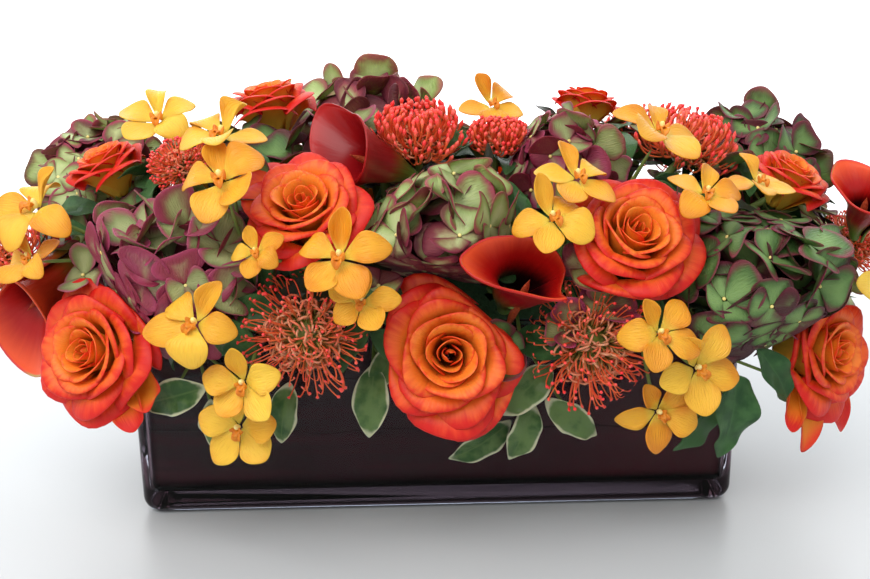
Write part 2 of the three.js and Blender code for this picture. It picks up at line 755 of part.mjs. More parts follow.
// An open-topped box: a block less an inner one, both cut level at the top.
function openBox({ length, depth, height }, wall, floor, corner, edge, edgeSteps) {
  const tall = height + 2 * edge;
  const inside = { length: length - 2 * wall, depth: depth - 2 * wall, height: tall };
  const innerCorner = corner - wall;
  const innerEdge = Math.min(edge, innerCorner) - 1;
  const outer = roundedBlock({ length, depth, height: tall }, corner, edge, edgeSteps);
  const inner = roundedBlock(inside, innerCorner, innerEdge, 1).translate(0, 0, floor);
  return solid(outer).subtract(solid(inner)).trimByPlane([0, 0, -1], -height);
}

function vase() {
  return openBox(VASE, VASE.wall, VASE.floor, VASE.corner, VASE.foot, 3);
}

function lining() {
  const inset = 2 * (VASE.wall + GAP);
  const bottom = VASE.floor + GAP;
  const height = VASE.height - LINING.drop - bottom;
  const size = { length: VASE.length - inset, depth: VASE.depth - inset, height };
  const box = openBox(size, LINING.wall, LINING.wall, VASE.corner - VASE.wall, LINING.foot, 1);
  return box.translate([0, 0, bottom]);
}

function foam() {
  const bottom = VASE.floor + 2 * GAP + LINING.wall;
  const size = { length: 2 * foamHalf.x, depth: 2 * foamHalf.y, height: foamTop - bottom };
  const block = roundedBlock(size, FOAM.corner, FOAM.edge, 1).translate(0, 0, bottom);
  return solid(block).subtract(joined(mainStems.map((stem) => stemBody(stem, GAP))));
}

// ---------------------------------------------------------------- assembly

const SMOOTHING = 0.2; // how far a face may move when small ones are merged

// A piece's blooms less the holes that other pieces' stems need, joined to its own stems.
function assembled({ owner, units }) {
  const heads = joined(units.flatMap((unit) => unit.parts.map(solid)));
  const foreign = stems.filter((stem) => stem.owner !== owner);
  const own = stems.filter((stem) => stem.owner === owner);
  const holes = joined(foreign.map((stem) => stemBody(stem, GAP)));
  const whole = joined([heads.subtract(holes), ...own.map((stem) => stemBody(stem))]);
  return largest(whole).simplify(SMOOTHING);
}

const centerpiece = new THREE.Group();

function place(name, body, finish) {
  const mesh = new THREE.Mesh(geometryOf(body), new THREE.MeshStandardMaterial(finish));
  mesh.name = name;
  centerpiece.add(mesh);
}

place("vase", vase(), FINISH.glass);
place("leaf_lining", lining(), FINISH.lining);
place("floral_foam", foam(), FINISH.foam);
pieces.forEach((piece) => place(piece.owner, assembled(piece), FINISH[piece.kind]));

export default centerpiece;
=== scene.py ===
# %% [markdown]
# # A low table centerpiece, dressed flower by flower
#
# The imported model gives us the construction: a glass vase, a leaf that lines it, a block of wet foam and
# fifty-seven blooms, sprays and sprigs, each a coarse solid in its real place. This lesson keeps every
# place and every size, and swaps each coarse solid for petals, sepals, styles and leaves with real edges.
# We begin by loading the frame.

# %% Load the frame
import itertools
import math
import random

import bmesh
import bpy
import numpy as np
from mathutils import Matrix, Vector


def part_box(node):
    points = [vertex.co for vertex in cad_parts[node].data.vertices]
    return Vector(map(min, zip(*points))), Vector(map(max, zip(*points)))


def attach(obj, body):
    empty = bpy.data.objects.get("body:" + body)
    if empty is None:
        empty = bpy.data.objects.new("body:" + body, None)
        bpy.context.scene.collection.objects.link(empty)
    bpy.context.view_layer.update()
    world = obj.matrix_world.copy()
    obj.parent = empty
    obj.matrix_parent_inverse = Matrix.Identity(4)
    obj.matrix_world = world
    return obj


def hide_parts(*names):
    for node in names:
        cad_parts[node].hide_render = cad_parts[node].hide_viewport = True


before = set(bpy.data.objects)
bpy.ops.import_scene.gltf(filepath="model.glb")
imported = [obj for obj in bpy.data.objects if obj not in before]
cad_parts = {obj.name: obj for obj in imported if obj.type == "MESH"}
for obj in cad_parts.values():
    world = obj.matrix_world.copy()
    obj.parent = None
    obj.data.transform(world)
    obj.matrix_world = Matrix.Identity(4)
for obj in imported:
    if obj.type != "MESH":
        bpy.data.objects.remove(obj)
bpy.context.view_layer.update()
BODY = "root"
MM = 0.001
GOLDEN = math.pi * (3 - math.sqrt(5))

# %% [markdown]
# ## The camera
#
# The picture was taken from a little above the table, almost square to the vase's long side. A camera is
# easiest to place from three angles: yaw turns it, pitch tips it down, and roll tilts its horizon. Its lens
# follows from the focal length in pixels, because the sensor is as many pixels wide as the picture.

# %% Place the camera
PICTURE_WIDTH = 870
FOCAL_PIXELS = 1322
SENSOR = 36
CAMERA_PLACE = Vector((-13.5, -664.0, 318.6)) * MM
YAW, PITCH, ROLL = (math.radians(angle) for angle in (1.22, 18.0, -0.71))


def add_camera():
    data = bpy.data.cameras.new("camera")
    data.sensor_width = SENSOR
    data.lens = SENSOR * FOCAL_PIXELS / PICTURE_WIDTH
    forward = Vector((math.sin(YAW) * math.cos(PITCH), math.cos(YAW) * math.cos(PITCH), -math.sin(PITCH)))
    right = Vector((math.cos(YAW), -math.sin(YAW), 0))
    up = right.cross(forward)
    across = math.cos(ROLL) * right + math.sin(ROLL) * up
    over = math.cos(ROLL) * up - math.sin(ROLL) * right
    camera = bpy.data.objects.new("camera", data)
    bpy.context.collection.objects.link(camera)
    turn = Matrix((across, over, -forward)).transposed().to_4x4()
    camera.matrix_world = Matrix.Translation(CAMERA_PLACE) @ turn
    bpy.context.scene.camera = camera
    print("lens:", round(data.lens, 2), "mm")


add_camera()

# %% [markdown]
# ## Shader maths as plain expressions
#
# A material is a small program, and its nodes soon hide what it says. So we wrap a node's output in a class
# whose operators add Math nodes: `1 - mask * 0.5` then reads as it would on paper. One method adds every
# other node, from its type, its settings and what goes into its sockets.

# %% Define the shader helpers
class Wire:
    """A number at every point of a surface, held as a node's output."""

    def __init__(self, paint, socket):
        self.paint = paint
        self.socket = socket

    def math(self, operation, *values):
        return self.paint.node("ShaderNodeMath", {"operation": operation}, *values)

    def __add__(self, other):
        return self.math("ADD", self, other)

    def __radd__(self, other):
        return self.math("ADD", other, self)

    def __sub__(self, other):
        return self.math("SUBTRACT", self, other)

    def __rsub__(self, other):
        return self.math("SUBTRACT", other, self)

    def __mul__(self, other):
        return self.math("MULTIPLY", self, other)

    def __rmul__(self, other):
        return self.math("MULTIPLY", other, self)

    def __abs__(self):
        return self.math("ABSOLUTE", self)


class Paint:
    """One material: a Principled shader and whatever is wired into it."""

    def __init__(self, name, **fixed):
        self.material = bpy.data.materials.new(name)
        self.material.use_nodes = True
        self.tree = self.material.node_tree
        self.shader = self.tree.nodes["Principled BSDF"]
        self.set(**fixed)

    def set(self, **sockets):
        """Sets or wires the shader's sockets: base_color for Base Color, and so on."""
        for name, value in sockets.items():
            words = name.replace("_", " ").title().replace("Ior", "IOR")
            self.feed(self.shader.inputs[words], value)

    def feed(self, socket, value):
        if isinstance(value, Wire):
            self.tree.links.new(value.socket, socket)
        else:
            socket.default_value = value

    def node(self, kind, settings, *values, output=0, **named):
        made = self.tree.nodes.new(kind)
        for name, value in settings.items():
            setattr(made, name, value)
        for slot, value in [*enumerate(values), *named.items()]:
            self.feed(made.inputs[slot], value)
        return Wire(self, made.outputs[output])

    def blend(self, mask, first, second):
        """Goes from the first colour to the second as the mask goes from 0 to 1."""
        made = self.tree.nodes.new("ShaderNodeMix")
        made.data_type = "RGBA"
        for slot, value in ((0, mask), (6, first), (7, second)):
            self.feed(made.inputs[slot], value)
        return Wire(self, made.outputs[2])

    def ease(self, value, start, end):
        """0 before start, 1 after end, and a smooth rise between them."""
        settings = {"interpolation_type": "SMOOTHSTEP"}
        return self.node("ShaderNodeMapRange", settings, value, start, end, 0.0, 1.0)

    def attribute(self, name):
        return self.node("ShaderNodeAttribute", {"attribute_name": name}, output=2)

    def petal_place(self):
        """How far across a petal a point lies, from -1 to 1, and how far along it, from 0 to 1."""
        corner = self.node("ShaderNodeTexCoord", {}, output=2)
        return self.part_of(corner, 0) * 2 - 1, self.part_of(corner, 1)

    def larger(self, first, second):
        return self.node("ShaderNodeMath", {"operation": "MAXIMUM"}, first, second)

    def rim_place(self):
        """0 in the middle of a petal's grid and at its root, and 1 all along its free border."""
        across, along = self.petal_place()
        return self.larger(abs(across), along * 2 - 1)

    def stretched(self, x, y, z=0.0):
        return self.node("ShaderNodeCombineXYZ", {}, x, y, z)

    def speckle(self, place, scale, detail=2.0):
        return self.node("ShaderNodeTexNoise", {}, Vector=place, Scale=scale, Detail=detail)

    def space(self):
        """A point's own place on the object, in metres."""
        return self.node("ShaderNodeTexCoord", {}, output=3)

    def part_of(self, place, axis):
        """One coordinate of a place: axis 0, 1 or 2."""
        return self.node("ShaderNodeSeparateXYZ", {}, place, output=axis)

    def bump(self, height, distance, strength=1.0):
        return self.node("ShaderNodeBump", {}, Height=height, Distance=distance, Strength=strength)


def colour(code):
    """A colour from its web code, as the linear numbers that a shader wants."""
    parts = [int(code[i : i + 2], 16) / 255 for i in (1, 3, 5)]
    linear = [part / 12.92 if part <= 0.04045 else ((part + 0.055) / 1.055) ** 2.4 for part in parts]
    return (*linear, 1.0)


print("orange as a shader sees it:", [round(part, 3) for part in colour("#ff852a")])

# %% [markdown]
# ## Finishes of petals and leaves
#
# A petal is coloured along its length and towards its rim, so its pattern is read from its own UV map:
# across and along. Two attributes do the rest. `tone` differs from petal to petal, and `ripe` says how far
# out in its flower a petal sits. Thin petals let light through, and a little subsurface gives them that.
#
# The rose comes first. Its petals are orange with red rims, redder the further out they sit, and their
# undersides are yellow. One could paint each ring of petals by itself, but `ripe` lets one finish do for
# all.

# %% Mix the rose's finish
PAINT = {}


def thin(name, roughness, subsurface=0.25, depth=0.004, radius=(1.0, 0.35, 0.1)):
    paint = Paint(name, roughness=roughness, subsurface_weight=subsurface, subsurface_scale=depth)
    paint.set(subsurface_radius=radius, specular_ior_level=0.35)
    return paint


def veins(paint, across, along, count, depth):
    """Fine veins that fan out along a petal, as a bump."""
    lines = paint.speckle(paint.stretched(across * count, along * 2.0), 1.0, 3.0)
    return paint.bump(lines, depth)


def rose_paint():
    """Orange petals with red rims; the outer the petal, the redder it is."""
    paint = thin("rose petal", 0.5, 0.2)
    across, along = paint.petal_place()
    ripe, tone = paint.attribute("ripe"), paint.attribute("tone")
    mottle = paint.speckle(paint.space(), 90.0)
    streak = paint.speckle(paint.stretched(across * 9.0, along * 1.5, tone * 20), 1.0, 3.0)
    heart = paint.blend(tone, colour("#ff9a34"), colour("#ff852a"))
    outer = paint.blend(tone, colour("#ea3c1b"), colour("#f65a24"))
    body = paint.blend(paint.ease(ripe + (mottle - 0.5) * 0.2, 0.1, 0.85), heart, outer)
    foot = paint.blend(paint.ease(along, 0.35, 0.8), colour("#f3a030"), body)
    red = paint.blend(paint.ease(ripe, 0.0, 0.7), colour("#f4521e"), colour("#d6170e"))
    rim = paint.ease(along + (streak - 0.5) * 0.5 + abs(across) * 0.16 + ripe * 0.2, 0.84, 1.16)
    paint.set(base_color=paint.blend(rim, foot, red), normal=veins(paint, across, along, 26.0, 0.00025))
    return paint.material


def rose_back_paint():
    paint = thin("rose petal underside", 0.6)
    across, along = paint.petal_place()
    rim = paint.ease(along + abs(across) * 0.25, 0.62, 1.08)
    body = paint.blend(paint.ease(along, 0.1, 0.6), colour("#e9b23c"), colour("#f7962a"))
    paint.set(base_color=paint.blend(rim, body, colour("#e6381a")))
    paint.set(normal=veins(paint, across, along, 30.0, 0.0003))
    return paint.material


PAINT["rose"] = rose_paint()
PAINT["rose back"] = rose_back_paint()
print("finishes of the rose:", list(PAINT))

# %% [markdown]
# Old hydrangea heads go from green to burgundy, from the rims in, in clouds that run over several sepals.
# So the stain adds up four things: how near the rim a point is, how ripe its floret is, the sepal's own
# tone, and a soft noise on the object. On the deeper ring and on the florets low on a head, `ripe` is raised
# as painted shade, so they stain a darker burgundy. The three kinds of head differ only in their colours and
# in how far the stain has spread.

# %% Mix the hydrangea's finish
def hydrangea_paint(name, green, pale, mauve, deep, flush):
    """`flush` is how far the burgundy of the rims has spread over the sepals of this head."""
    paint = thin(name, 0.5, 0.15, 0.003, (0.7, 0.8, 0.3))
    across, along = paint.petal_place()
    ripe, tone = paint.attribute("ripe"), paint.attribute("tone")
    cloud = paint.speckle(paint.space(), 70.0, 3.0)
    mottle = paint.speckle(paint.space(), 220.0, 3.0)
    reach = paint.rim_place() + (mottle - 0.5) * 0.3
    body = paint.blend(paint.ease(reach + (cloud - 0.5) * 0.8, 0.0, 0.9), colour(pale), colour(green))
    # `ripe` is partly the floret's own ripeness and partly painted shade on deep and low florets.
    spread = reach * 0.55 + ripe * 0.75 + (tone - 0.5) * 0.9 + (cloud - 0.5) * 1.0 + flush
    red = paint.blend(tone, colour(mauve), colour(deep))
    stained = paint.blend(paint.ease(spread, 0.6, 1.2) * 0.95, body, red)
    rim = paint.ease(reach + ripe * 0.1, 0.6, 1.02)
    paint.set(base_color=paint.blend(rim * 0.85, stained, paint.blend(ripe, colour(mauve), colour(deep))))
    lines = paint.speckle(paint.stretched(across * 14.0, along * 5.0), 1.0, 4.0)
    paint.set(normal=paint.bump(lines, 0.0006))
    return paint.material


HEAD_COLOURS = {
    "mauve hydrangea": ("mauve sepal", "#75824a", "#a9b37c", "#b64a74", "#84203c", 0.16),
    "green hydrangea": ("green sepal", "#86a052", "#bccb8e", "#b13a5c", "#5c1a2c", 0.08),
    "dark hydrangea": ("dark sepal", "#3c5e2c", "#749656", "#8a2c48", "#461422", -0.08),
}
for finish, settings in HEAD_COLOURS.items():
    PAINT[finish] = hydrangea_paint(*settings)
print("kinds of hydrangea:", list(HEAD_COLOURS))

# %% [markdown]
# A pincushion's styles are red threads with a bright, smooth knob. Their colour runs along them, so it
# needs no noise, only the place along each style. The short ribbons in the middle go from olive to a
# dusty pink.

# %% Mix the pincushion's finishes
def pincushion_paint():
    paint = thin("pincushion style", 0.35, 0.15, 0.002)
    _, along = paint.petal_place()
    tone, ripe = paint.attribute("tone"), paint.attribute("ripe")
    shaft = paint.blend(tone, colour("#e04e30"), colour("#f47a48"))
    base = paint.blend(paint.ease(along, 0.0, 0.4), colour("#b9863f"), shaft)
    knob = paint.blend(tone, colour("#f8323a"), colour("#ff6a5c"))
    tipped = paint.blend(paint.ease(along, 0.82, 0.9), base, knob)
    paint.set(base_color=paint.blend(ripe, tipped, colour("#7d8a3a")))
    return paint.material


def ribbon_paint():
    paint = thin("pincushion ribbon", 0.6, 0.2, 0.002)
    _, along = paint.petal_place()
    tone = paint.attribute("tone")
    tip = paint.blend(tone, colour("#e0603f"), colour("#e3a07c"))
    paint.set(base_color=paint.blend(paint.ease(along, 0.1, 0.6), colour("#8f8a44"), tip))
    return paint.material


PAINT["pincushion"] = pincushion_paint()
PAINT["ribbon"] = ribbon_paint()
print("finishes so far:", len(PAINT))

# %% [markdown]
# A calla is smooth and a little waxy: low roughness, fine grain along it and soft steps of colour. Its
# throat is a finish of its own, because it is nearly black deep down, where the outside is still green.

# %% Mix the calla's finishes
def calla_paint(name, foot, body, rim):
    paint = thin(name, 0.3, 0.1, 0.003)
    across, along = paint.petal_place()
    grain = paint.speckle(paint.stretched(across * 40.0, along * 3.0), 1.0, 3.0)
    middle = paint.blend(paint.ease(along + (grain - 0.5) * 0.2, 0.1, 0.5), colour(foot), colour(body))
    paint.set(base_color=paint.blend(paint.ease(along, 0.7, 1.0), middle, colour(rim)))
    paint.set(normal=paint.bump(grain, 0.0002))
    return paint.material


def throat_paint():
    """Nearly black deep down, red further up, and orange-red towards the point, which is green."""
    paint = thin("calla throat", 0.32, 0.1, 0.003)
    across, along = paint.petal_place()
    grain = paint.speckle(paint.stretched(across * 40.0, along * 3.0), 1.0, 3.0)
    toward = 1 - abs(across)
    up = along + (grain - 0.5) * 0.08 + toward * 0.12
    deep = paint.blend(paint.ease(up, 0.5, 0.78), colour("#240208"), colour("#b0120f"))
    warm = paint.blend(paint.ease(up, 0.78, 1.05), deep, colour("#ee5a30"))
    rim = paint.blend(paint.ease(along, 0.95, 1.0), warm, colour("#d8384a"))
    tip = paint.ease(toward, 0.93, 0.98) * paint.ease(along, 0.95, 1.0)
    paint.set(base_color=paint.blend(tip, rim, colour("#a9ae62")), normal=paint.bump(grain, 0.0002))
    return paint.material


CALLA_COLOURS = {
    "calla": ("calla spathe", "#5b7a2c", "#8c0f18", "#b81c16"),
    "crimson calla": ("crimson spathe", "#5b7a2c", "#74090f", "#981214"),
    "coral calla": ("coral spathe", "#6b6a24", "#b02c14", "#cf4a22"),
    "crimson throat": ("crimson throat", "#2c0308", "#8e0e14", "#b01c1c"),
}
for finish, settings in CALLA_COLOURS.items():
    PAINT[finish] = calla_paint(*settings)
PAINT["calla throat"] = throat_paint()
print("finishes so far:", len(PAINT))

# %% [markdown]
# The orchids are golden with an orange blush that differs from petal to petal, and fine lines run out
# along each. The last finish here is a plain one in two near colours. It serves the lips, columns, stems
# and spadices.

# %% Mix the orchid's finish and a plain one
def orchid_paint():
    paint = thin("orchid petal", 0.42, 0.15, 0.003, (1.0, 0.6, 0.12))
    across, along = paint.petal_place()
    tone = paint.attribute("tone")
    grain = paint.speckle(paint.stretched(across * 12.0, along * 3.0), 1.0, 3.0)
    cloud = paint.speckle(paint.space(), 55.0, 2.0)
    golden = paint.blend(tone, colour("#fbd24a"), colour("#ee9c1a"))
    blush = paint.ease(paint.rim_place() * 0.35 + (cloud - 0.5) * 1.3 + tone * 0.5, 0.25, 1.0)
    body = paint.blend(blush * 0.8, golden, colour("#d97a12"))
    throat = paint.blend(paint.ease(along, 0.0, 0.35), colour("#f9dc56"), body)
    lined = paint.blend(paint.ease(grain, 0.55, 0.8) * 0.35, throat, colour("#c87a18"))
    paint.set(base_color=lined, normal=paint.bump(grain, 0.0007))
    return paint.material


def plain_paint(name, first, second, roughness=0.5, scale=120.0, depth=0.0004):
    """Two near colours in a soft mottle, for small parts such as lips, columns and stems."""
    paint = thin(name, roughness, 0.1, 0.002)
    mottle = paint.speckle(paint.space(), scale, 3.0)
    paint.set(base_color=paint.blend(mottle, colour(first), colour(second)))
    paint.set(normal=paint.bump(mottle, depth))
    return paint.material


PAINT["orchid"] = orchid_paint()
PAINT["lip"] = plain_paint("orchid lip", "#c4501a", "#f2a628", 0.45, 260.0)
PAINT["column"] = plain_paint("orchid column", "#fdf0b0", "#f7d860", 0.4)
PAINT["spadix"] = plain_paint("calla spadix", "#c4572a", "#7c2416", 0.6, 900.0, 0.0008)
PAINT["stem"] = plain_paint("stem", "#5d7a3a", "#86974e", 0.5)
print("finishes so far:", len(PAINT))

# %% [markdown]
# Leaves are variegated, dark green or plum. The cream margin follows the whole outline of a blade, so it
# is read from the larger of two numbers: how far across a point lies, and how near it is to either end.

# %% Mix the finishes of the leaves
def leaf_paint(name, green, grey, margin, border):
    """`border` is how far along or across the cream margin starts; above 1 there is none."""
    paint = thin(name, 0.38, 0.1, 0.002, (0.5, 0.8, 0.2))
    across, along = paint.petal_place()
    tone = paint.attribute("tone")
    blotch = paint.speckle(paint.space(), 110.0, 3.0)
    edge = paint.larger(abs(across), abs(along * 2 - 1)) + (blotch - 0.5) * 0.5
    body = paint.blend(paint.ease(blotch + tone * 0.3, 0.45, 0.75), colour(green), colour(grey))
    midrib = 1 - paint.ease(abs(across), 0.0, 0.1)
    ribbed = paint.blend(midrib * 0.5, body, colour(grey))
    paint.set(base_color=paint.blend(paint.ease(edge, border, border + 0.16), ribbed, colour(margin)))
    rake = paint.node("ShaderNodeTexWave", {}, Vector=paint.stretched(along * 9.0 - abs(across) * 4.0, 0.0))
    paint.set(normal=paint.bump(rake + midrib, 0.0005, 0.6), coat_weight=0.15)
    return paint.material


LEAF_COLOURS = {
    "variegated leaf": ("#3a6330", "#6f8d52", "#dfe2bc", 0.8),
    "dark leaf": ("#2f5a30", "#4c7a44", "#5e8a50", 1.2),
    "plum leaf": ("#3a1a26", "#2c3a26", "#6a2a3c", 1.0),
}
for finish, settings in LEAF_COLOURS.items():
    PAINT[finish] = leaf_paint(finish, *settings)
print("kinds of leaf:", list(LEAF_COLOURS))

# %% [markdown]
# The glass is clear, with a dark leaf right behind it. Thick glass at the floor and the ends would bend
# the view of that leaf outward, and a low index of refraction bends it too little. So those places carry a
# painted reflection: they are tinted as dark as the leaf that one would see there.

# %% Mix the finishes of glass, lining and foam
def glass_paint():
    """Clear glass. Its thick floor and ends carry a painted reflection of the dark leaf, all but its foot."""
    paint = Paint("clear glass", roughness=0.0, transmission_weight=1.0, ior=1.22)
    place = paint.space()
    height, aside = paint.part_of(place, 2), abs(paint.part_of(place, 0))
    # Painted reflection: the ends and the floor are tinted as dark as the leaf seen through them; the foot
    # keeps a paler blue-grey tint.
    walls = paint.blend(paint.ease(aside, 0.143, 0.149), colour("#e9eef0"), colour("#4e3844"))
    floor = paint.blend(paint.ease(height, 0.002, 0.0045), colour("#9aa2b4"), colour("#150c10"))
    paint.set(base_color=paint.blend(paint.ease(height, 0.014, 0.018), floor, walls))
    return paint.material


def lining_paint():
    paint = Paint("lining leaf", roughness=0.55, specular_ior_level=0.1)
    place = paint.space()
    fibres = paint.node("ShaderNodeMapping", {}, place, Scale=(9.0, 9.0, 150.0))
    grain = paint.speckle(fibres, 1.0, 3.0)
    cloud = paint.speckle(place, 30.0, 2.0)
    spots = paint.ease(paint.speckle(place, 150.0, 4.0), 0.68, 0.76)
    side = paint.part_of(place, 0)
    body = paint.blend(cloud, colour("#250610"), colour("#350a18"))
    warmer = paint.blend(paint.ease(side, -0.05, 0.15), body, colour("#4a0f1b"))
    lined = paint.blend(paint.ease(grain, 0.5, 0.75) * 0.35, warmer, colour("#5a1827"))
    paint.set(base_color=paint.blend(spots * 0.25, lined, colour("#4a3c3e")))
    paint.set(normal=paint.bump(grain, 0.0001))
    return paint.material


def foam_paint():
    paint = Paint("wet floral foam", roughness=0.9)
    place = paint.space()
    pores = paint.speckle(place, 900.0, 2.0)
    paint.set(base_color=paint.blend(pores, colour("#1f3a22"), colour("#355a35")))
    paint.set(normal=paint.bump(pores, 0.0006))
    return paint.material


PAINT["glass"] = glass_paint()
PAINT["lining leaf"] = lining_paint()
PAINT["foam"] = foam_paint()
print("finishes in all:", len(PAINT))

# %% [markdown]
# ## Bending sheets
#
# Every petal, sepal, leaf and even every style starts as a flat grid and is bent by a rule. The rule gets
# how far across and along the grid a corner lies, and returns its place. A `Model` gathers the sheets of
# one piece, in millimetres, and remembers which corners belong to which bloom. Where the two sides of a
# sheet differ, `BACKS` names the finish of its other side.

# %% Define the model that gathers sheets
UP = Vector((0, 0, 1))
BACKS = {
    "rose": "rose back",
    "rose back": "rose",
    "calla": "calla throat",
    "crimson calla": "crimson throat",
    "coral calla": "calla throat",
}


class Model:
    """Two meshes in the making: open sheets, which get a thickness, and closed tubes, which have one."""

    def __init__(self):
        self.meshes = {"sheets": bmesh.new(), "tubes": bmesh.new()}
        self.finishes = []
        self.slots = {}
        self.fresh = []
        for mesh in self.meshes.values():
            mesh.loops.layers.uv.new("petal")
            mesh.verts.layers.float.new("tone")
            mesh.verts.layers.float.new("ripe")

    def slot(self, finish):
        if finish not in self.slots:
            self.slots[finish] = len(self.finishes)
            self.finishes.append(finish)
            if finish in BACKS:
                self.finishes.append(BACKS[finish])
        return self.slots[finish]

    def sheet(self, columns, rows, shape, finish, tone=0.0, ripe=0.0, part="sheets"):
        """A grid bent by shape(across, along), across from -1 to 1 and along from 0 to 1."""
        mesh = self.meshes[part]
        grid = bmesh.ops.create_grid(mesh, x_segments=columns, y_segments=rows, size=1, calc_uvs=True)
        tones, ripes = mesh.verts.layers.float["tone"], mesh.verts.layers.float["ripe"]
        index = self.slot(finish)
        for corner in grid["verts"]:
            corner[tones] = tone
            corner[ripes] = ripe
            corner.co = shape(corner.co.x, (corner.co.y + 1) / 2)
            for face in corner.link_faces:
                face.material_index = index
        self.fresh.extend(grid["verts"])
        return grid["verts"]

    def tube(self, sides, rows, path, radius, finish, tone=0.0, ripe=0.0):
        """A sheet rolled up round path(along), radius(along) from it, with its seam and ends merged."""

        def shape(across, along):
            ahead = (path(min(along + 0.01, 1)) - path(max(along - 0.01, 0))).normalized()
            side = ahead.orthogonal().normalized() if abs(ahead.z) > 0.99 else UP.cross(ahead).normalized()
            turn = across * math.pi
            arm = side * math.cos(turn) + ahead.cross(side) * math.sin(turn)
            return path(along) + arm * radius(along)

        corners = self.sheet(sides, rows, shape, finish, tone, ripe, "tubes")
        bmesh.ops.remove_doubles(self.meshes["tubes"], verts=corners, dist=0.001)

    def take_fresh(self):
        """The corners made since the last call: one bloom's, when called after each bloom."""
        fresh = [corner for corner in self.fresh if corner.is_valid]
        self.fresh = []
        return fresh


print("a model gathers:", list(Model().meshes))

# %% [markdown]
# A few small shapes come back in every bloom: a step that eases in and out, a point at an angle,
# directions spread over a dome by the golden angle, and a rule that makes a square grid round. To see
# what a bloom comes to, `try_out` builds one by itself, prints its size and lets it go.

# %% Define shared shapes
def smooth(value, start, end):
    share = min(max((value - start) / (end - start), 0), 1)
    return share * share * (3 - 2 * share)


def polar(radius, turn, height):
    return Vector((radius * math.cos(turn), radius * math.sin(turn), height))


def dome_ways(count, lowest, highest=1.0):
    """Directions spread evenly over a dome, between two heights on a unit ball."""
    for i in range(count):
        height = highest - (highest - lowest) * (i + 0.4) / count
        yield polar(math.sqrt(1 - height * height), i * GOLDEN, height)


def disc(across, along):
    """Rounds a square grid: how far to the side, from -1 to 1, and out, from 0 to 1, each corner moves."""
    far = 2 * along - 1
    return across * math.sqrt(1 - far * far / 2), (1 + far * math.sqrt(1 - across * across / 2)) / 2


def tangents(way):
    """Two directions square to `way` and to each other."""
    first = way.orthogonal().normalized()
    return first, way.cross(first)


def try_out(name, build):
    model = Model()
    build(model)
    places = np.array([corner.co for corner in model.take_fresh()])
    spans = np.ptp(places, axis=0).round().astype(int)
    print(f"{name}: {len(places)} corners,", " x ".join(map(str, spans)), "mm")
    for mesh in model.meshes.values():
        mesh.free()


print("a corner of a square grid, made round:", [round(value, 2) for value in disc(1, 1)])

# %% [markdown]
# ## The rose
#
# A garden rose opens in a spiral. Each petal is set a golden angle on from the last one, so no two lie
# quite over each other, and each wraps half under its neighbour. Inner petals stand up and are tightly
# rolled; the outer ones lean out and their rims roll back to a point. One rule with a share `open_`, from
# 0 at the bud to 1 outside, gives all of them. All lengths below are shares of the rose's radius, and
# angles are in radians.

# %% Name the rose's proportions
ROSE_PETALS = 30
ROSE_SEPALS = 5
ROSE_GRID = (7, 7)
ROSE_FOOT = -1.12
BUD_RADIUS, RADIUS_GAIN = 0.05, 0.71
BUD_WRAP, WRAP_LOSS = 1.7, 0.86
RIM_RISE, RIM_DROP, RIM_JITTER = 0.09, 0.34, 0.04
FLARE, BUD_PINCH = 0.24, 0.05
RIPPLE = 0.022
print("petals on a rose:", ROSE_PETALS)

# %% [markdown]
# A rose's petal stands at an angle and is wrapped round the heart from there. Its rim leans out, rolls
# back and runs to a point that is a little off its middle, and a soft ripple runs round it.

# %% Bend a rose's petal
def rose_petal(model, size, turn, open_, rng):
    """One petal, its middle at the angle `turn` and `open_` of the way from the bud to the outside."""
    foot = ROSE_FOOT * size
    radius = size * (BUD_RADIUS + RADIUS_GAIN * open_**0.92)
    wrap = BUD_WRAP - WRAP_LOSS * open_**0.7
    jitter = rng.uniform(-RIM_JITTER, RIM_JITTER)
    top = size * (0.02 + RIM_RISE * math.sin(math.pi * open_) - RIM_DROP * open_**2.5 + jitter)
    flare = size * (FLARE * open_**1.3 - BUD_PINCH * (1 - open_) ** 6)
    wave = rng.uniform(0, 6)
    lap = rng.uniform(0.07, 0.13) * radius
    peak = rng.uniform(-0.3, 0.3)
    pointed = size * open_ * rng.uniform(0.12, 0.26)

    def petal(across, along):
        edge = abs(across)
        lean = smooth(along, 0.55, 1.0)
        point = max(0, 1 - abs(across - peak)) ** 1.5
        spread = wrap * (0.35 + 0.65 * math.sin(min(1, along * 1.25) * math.pi / 2))
        reach = radius * math.sin(min(1, 0.12 + along * 1.05) * math.pi / 2) ** 0.8
        reach += lap * across * along + flare * lean * (0.7 + 0.3 * point)
        reach += lean * (pointed * point + size * RIPPLE * math.sin(5 * across + wave))
        rise = math.sin(along**0.85 * math.pi / 2 * (1 + 0.16 * open_))
        rise *= 1 - (0.1 + 0.12 * open_) * edge**2.5
        height = foot + (top - foot) * rise - size * open_ * (0.05 + 0.14 * edge * edge) * lean
        return polar(reach, turn - across * spread, height)

    model.sheet(*ROSE_GRID, petal, "rose", rng.random(), open_)


try_out("an outer petal of a rose", lambda model: rose_petal(model, 25, 0, 1, random.Random(0)))

# %% [markdown]
# Then the whole rose: loose guard petals that hang from under it where its row asks for them, the spiral of
# petals from the bud out, and five pointed sepals below.

# %% Build a rose
def hang_petal(model, size, out, finish, reach):
    side = UP.cross(out)

    def petal(across, along):
        aside, away = disc(across, along)
        half = 0.36 * size * (0.5 + 0.5 * smooth(away, 0, 0.5)) * (1 - 0.35 * away)
        curl = -0.8 + 0.5 * away - 0.25 * away**3 + 0.16 * aside * aside
        return out * size * (0.25 + reach * away) + side * half * aside + UP * size * curl

    model.sheet(5, 7, petal, finish, 0.5, 1.0)


def rose_sepal(model, size, turn):
    def sepal(across, along):
        height = -size * (1.2 - 0.3 * along * along)
        return polar(size * (0.1 + 0.6 * along), turn - across * 0.42 * (1 - along), height)

    model.sheet(2, 5, sepal, "stem")


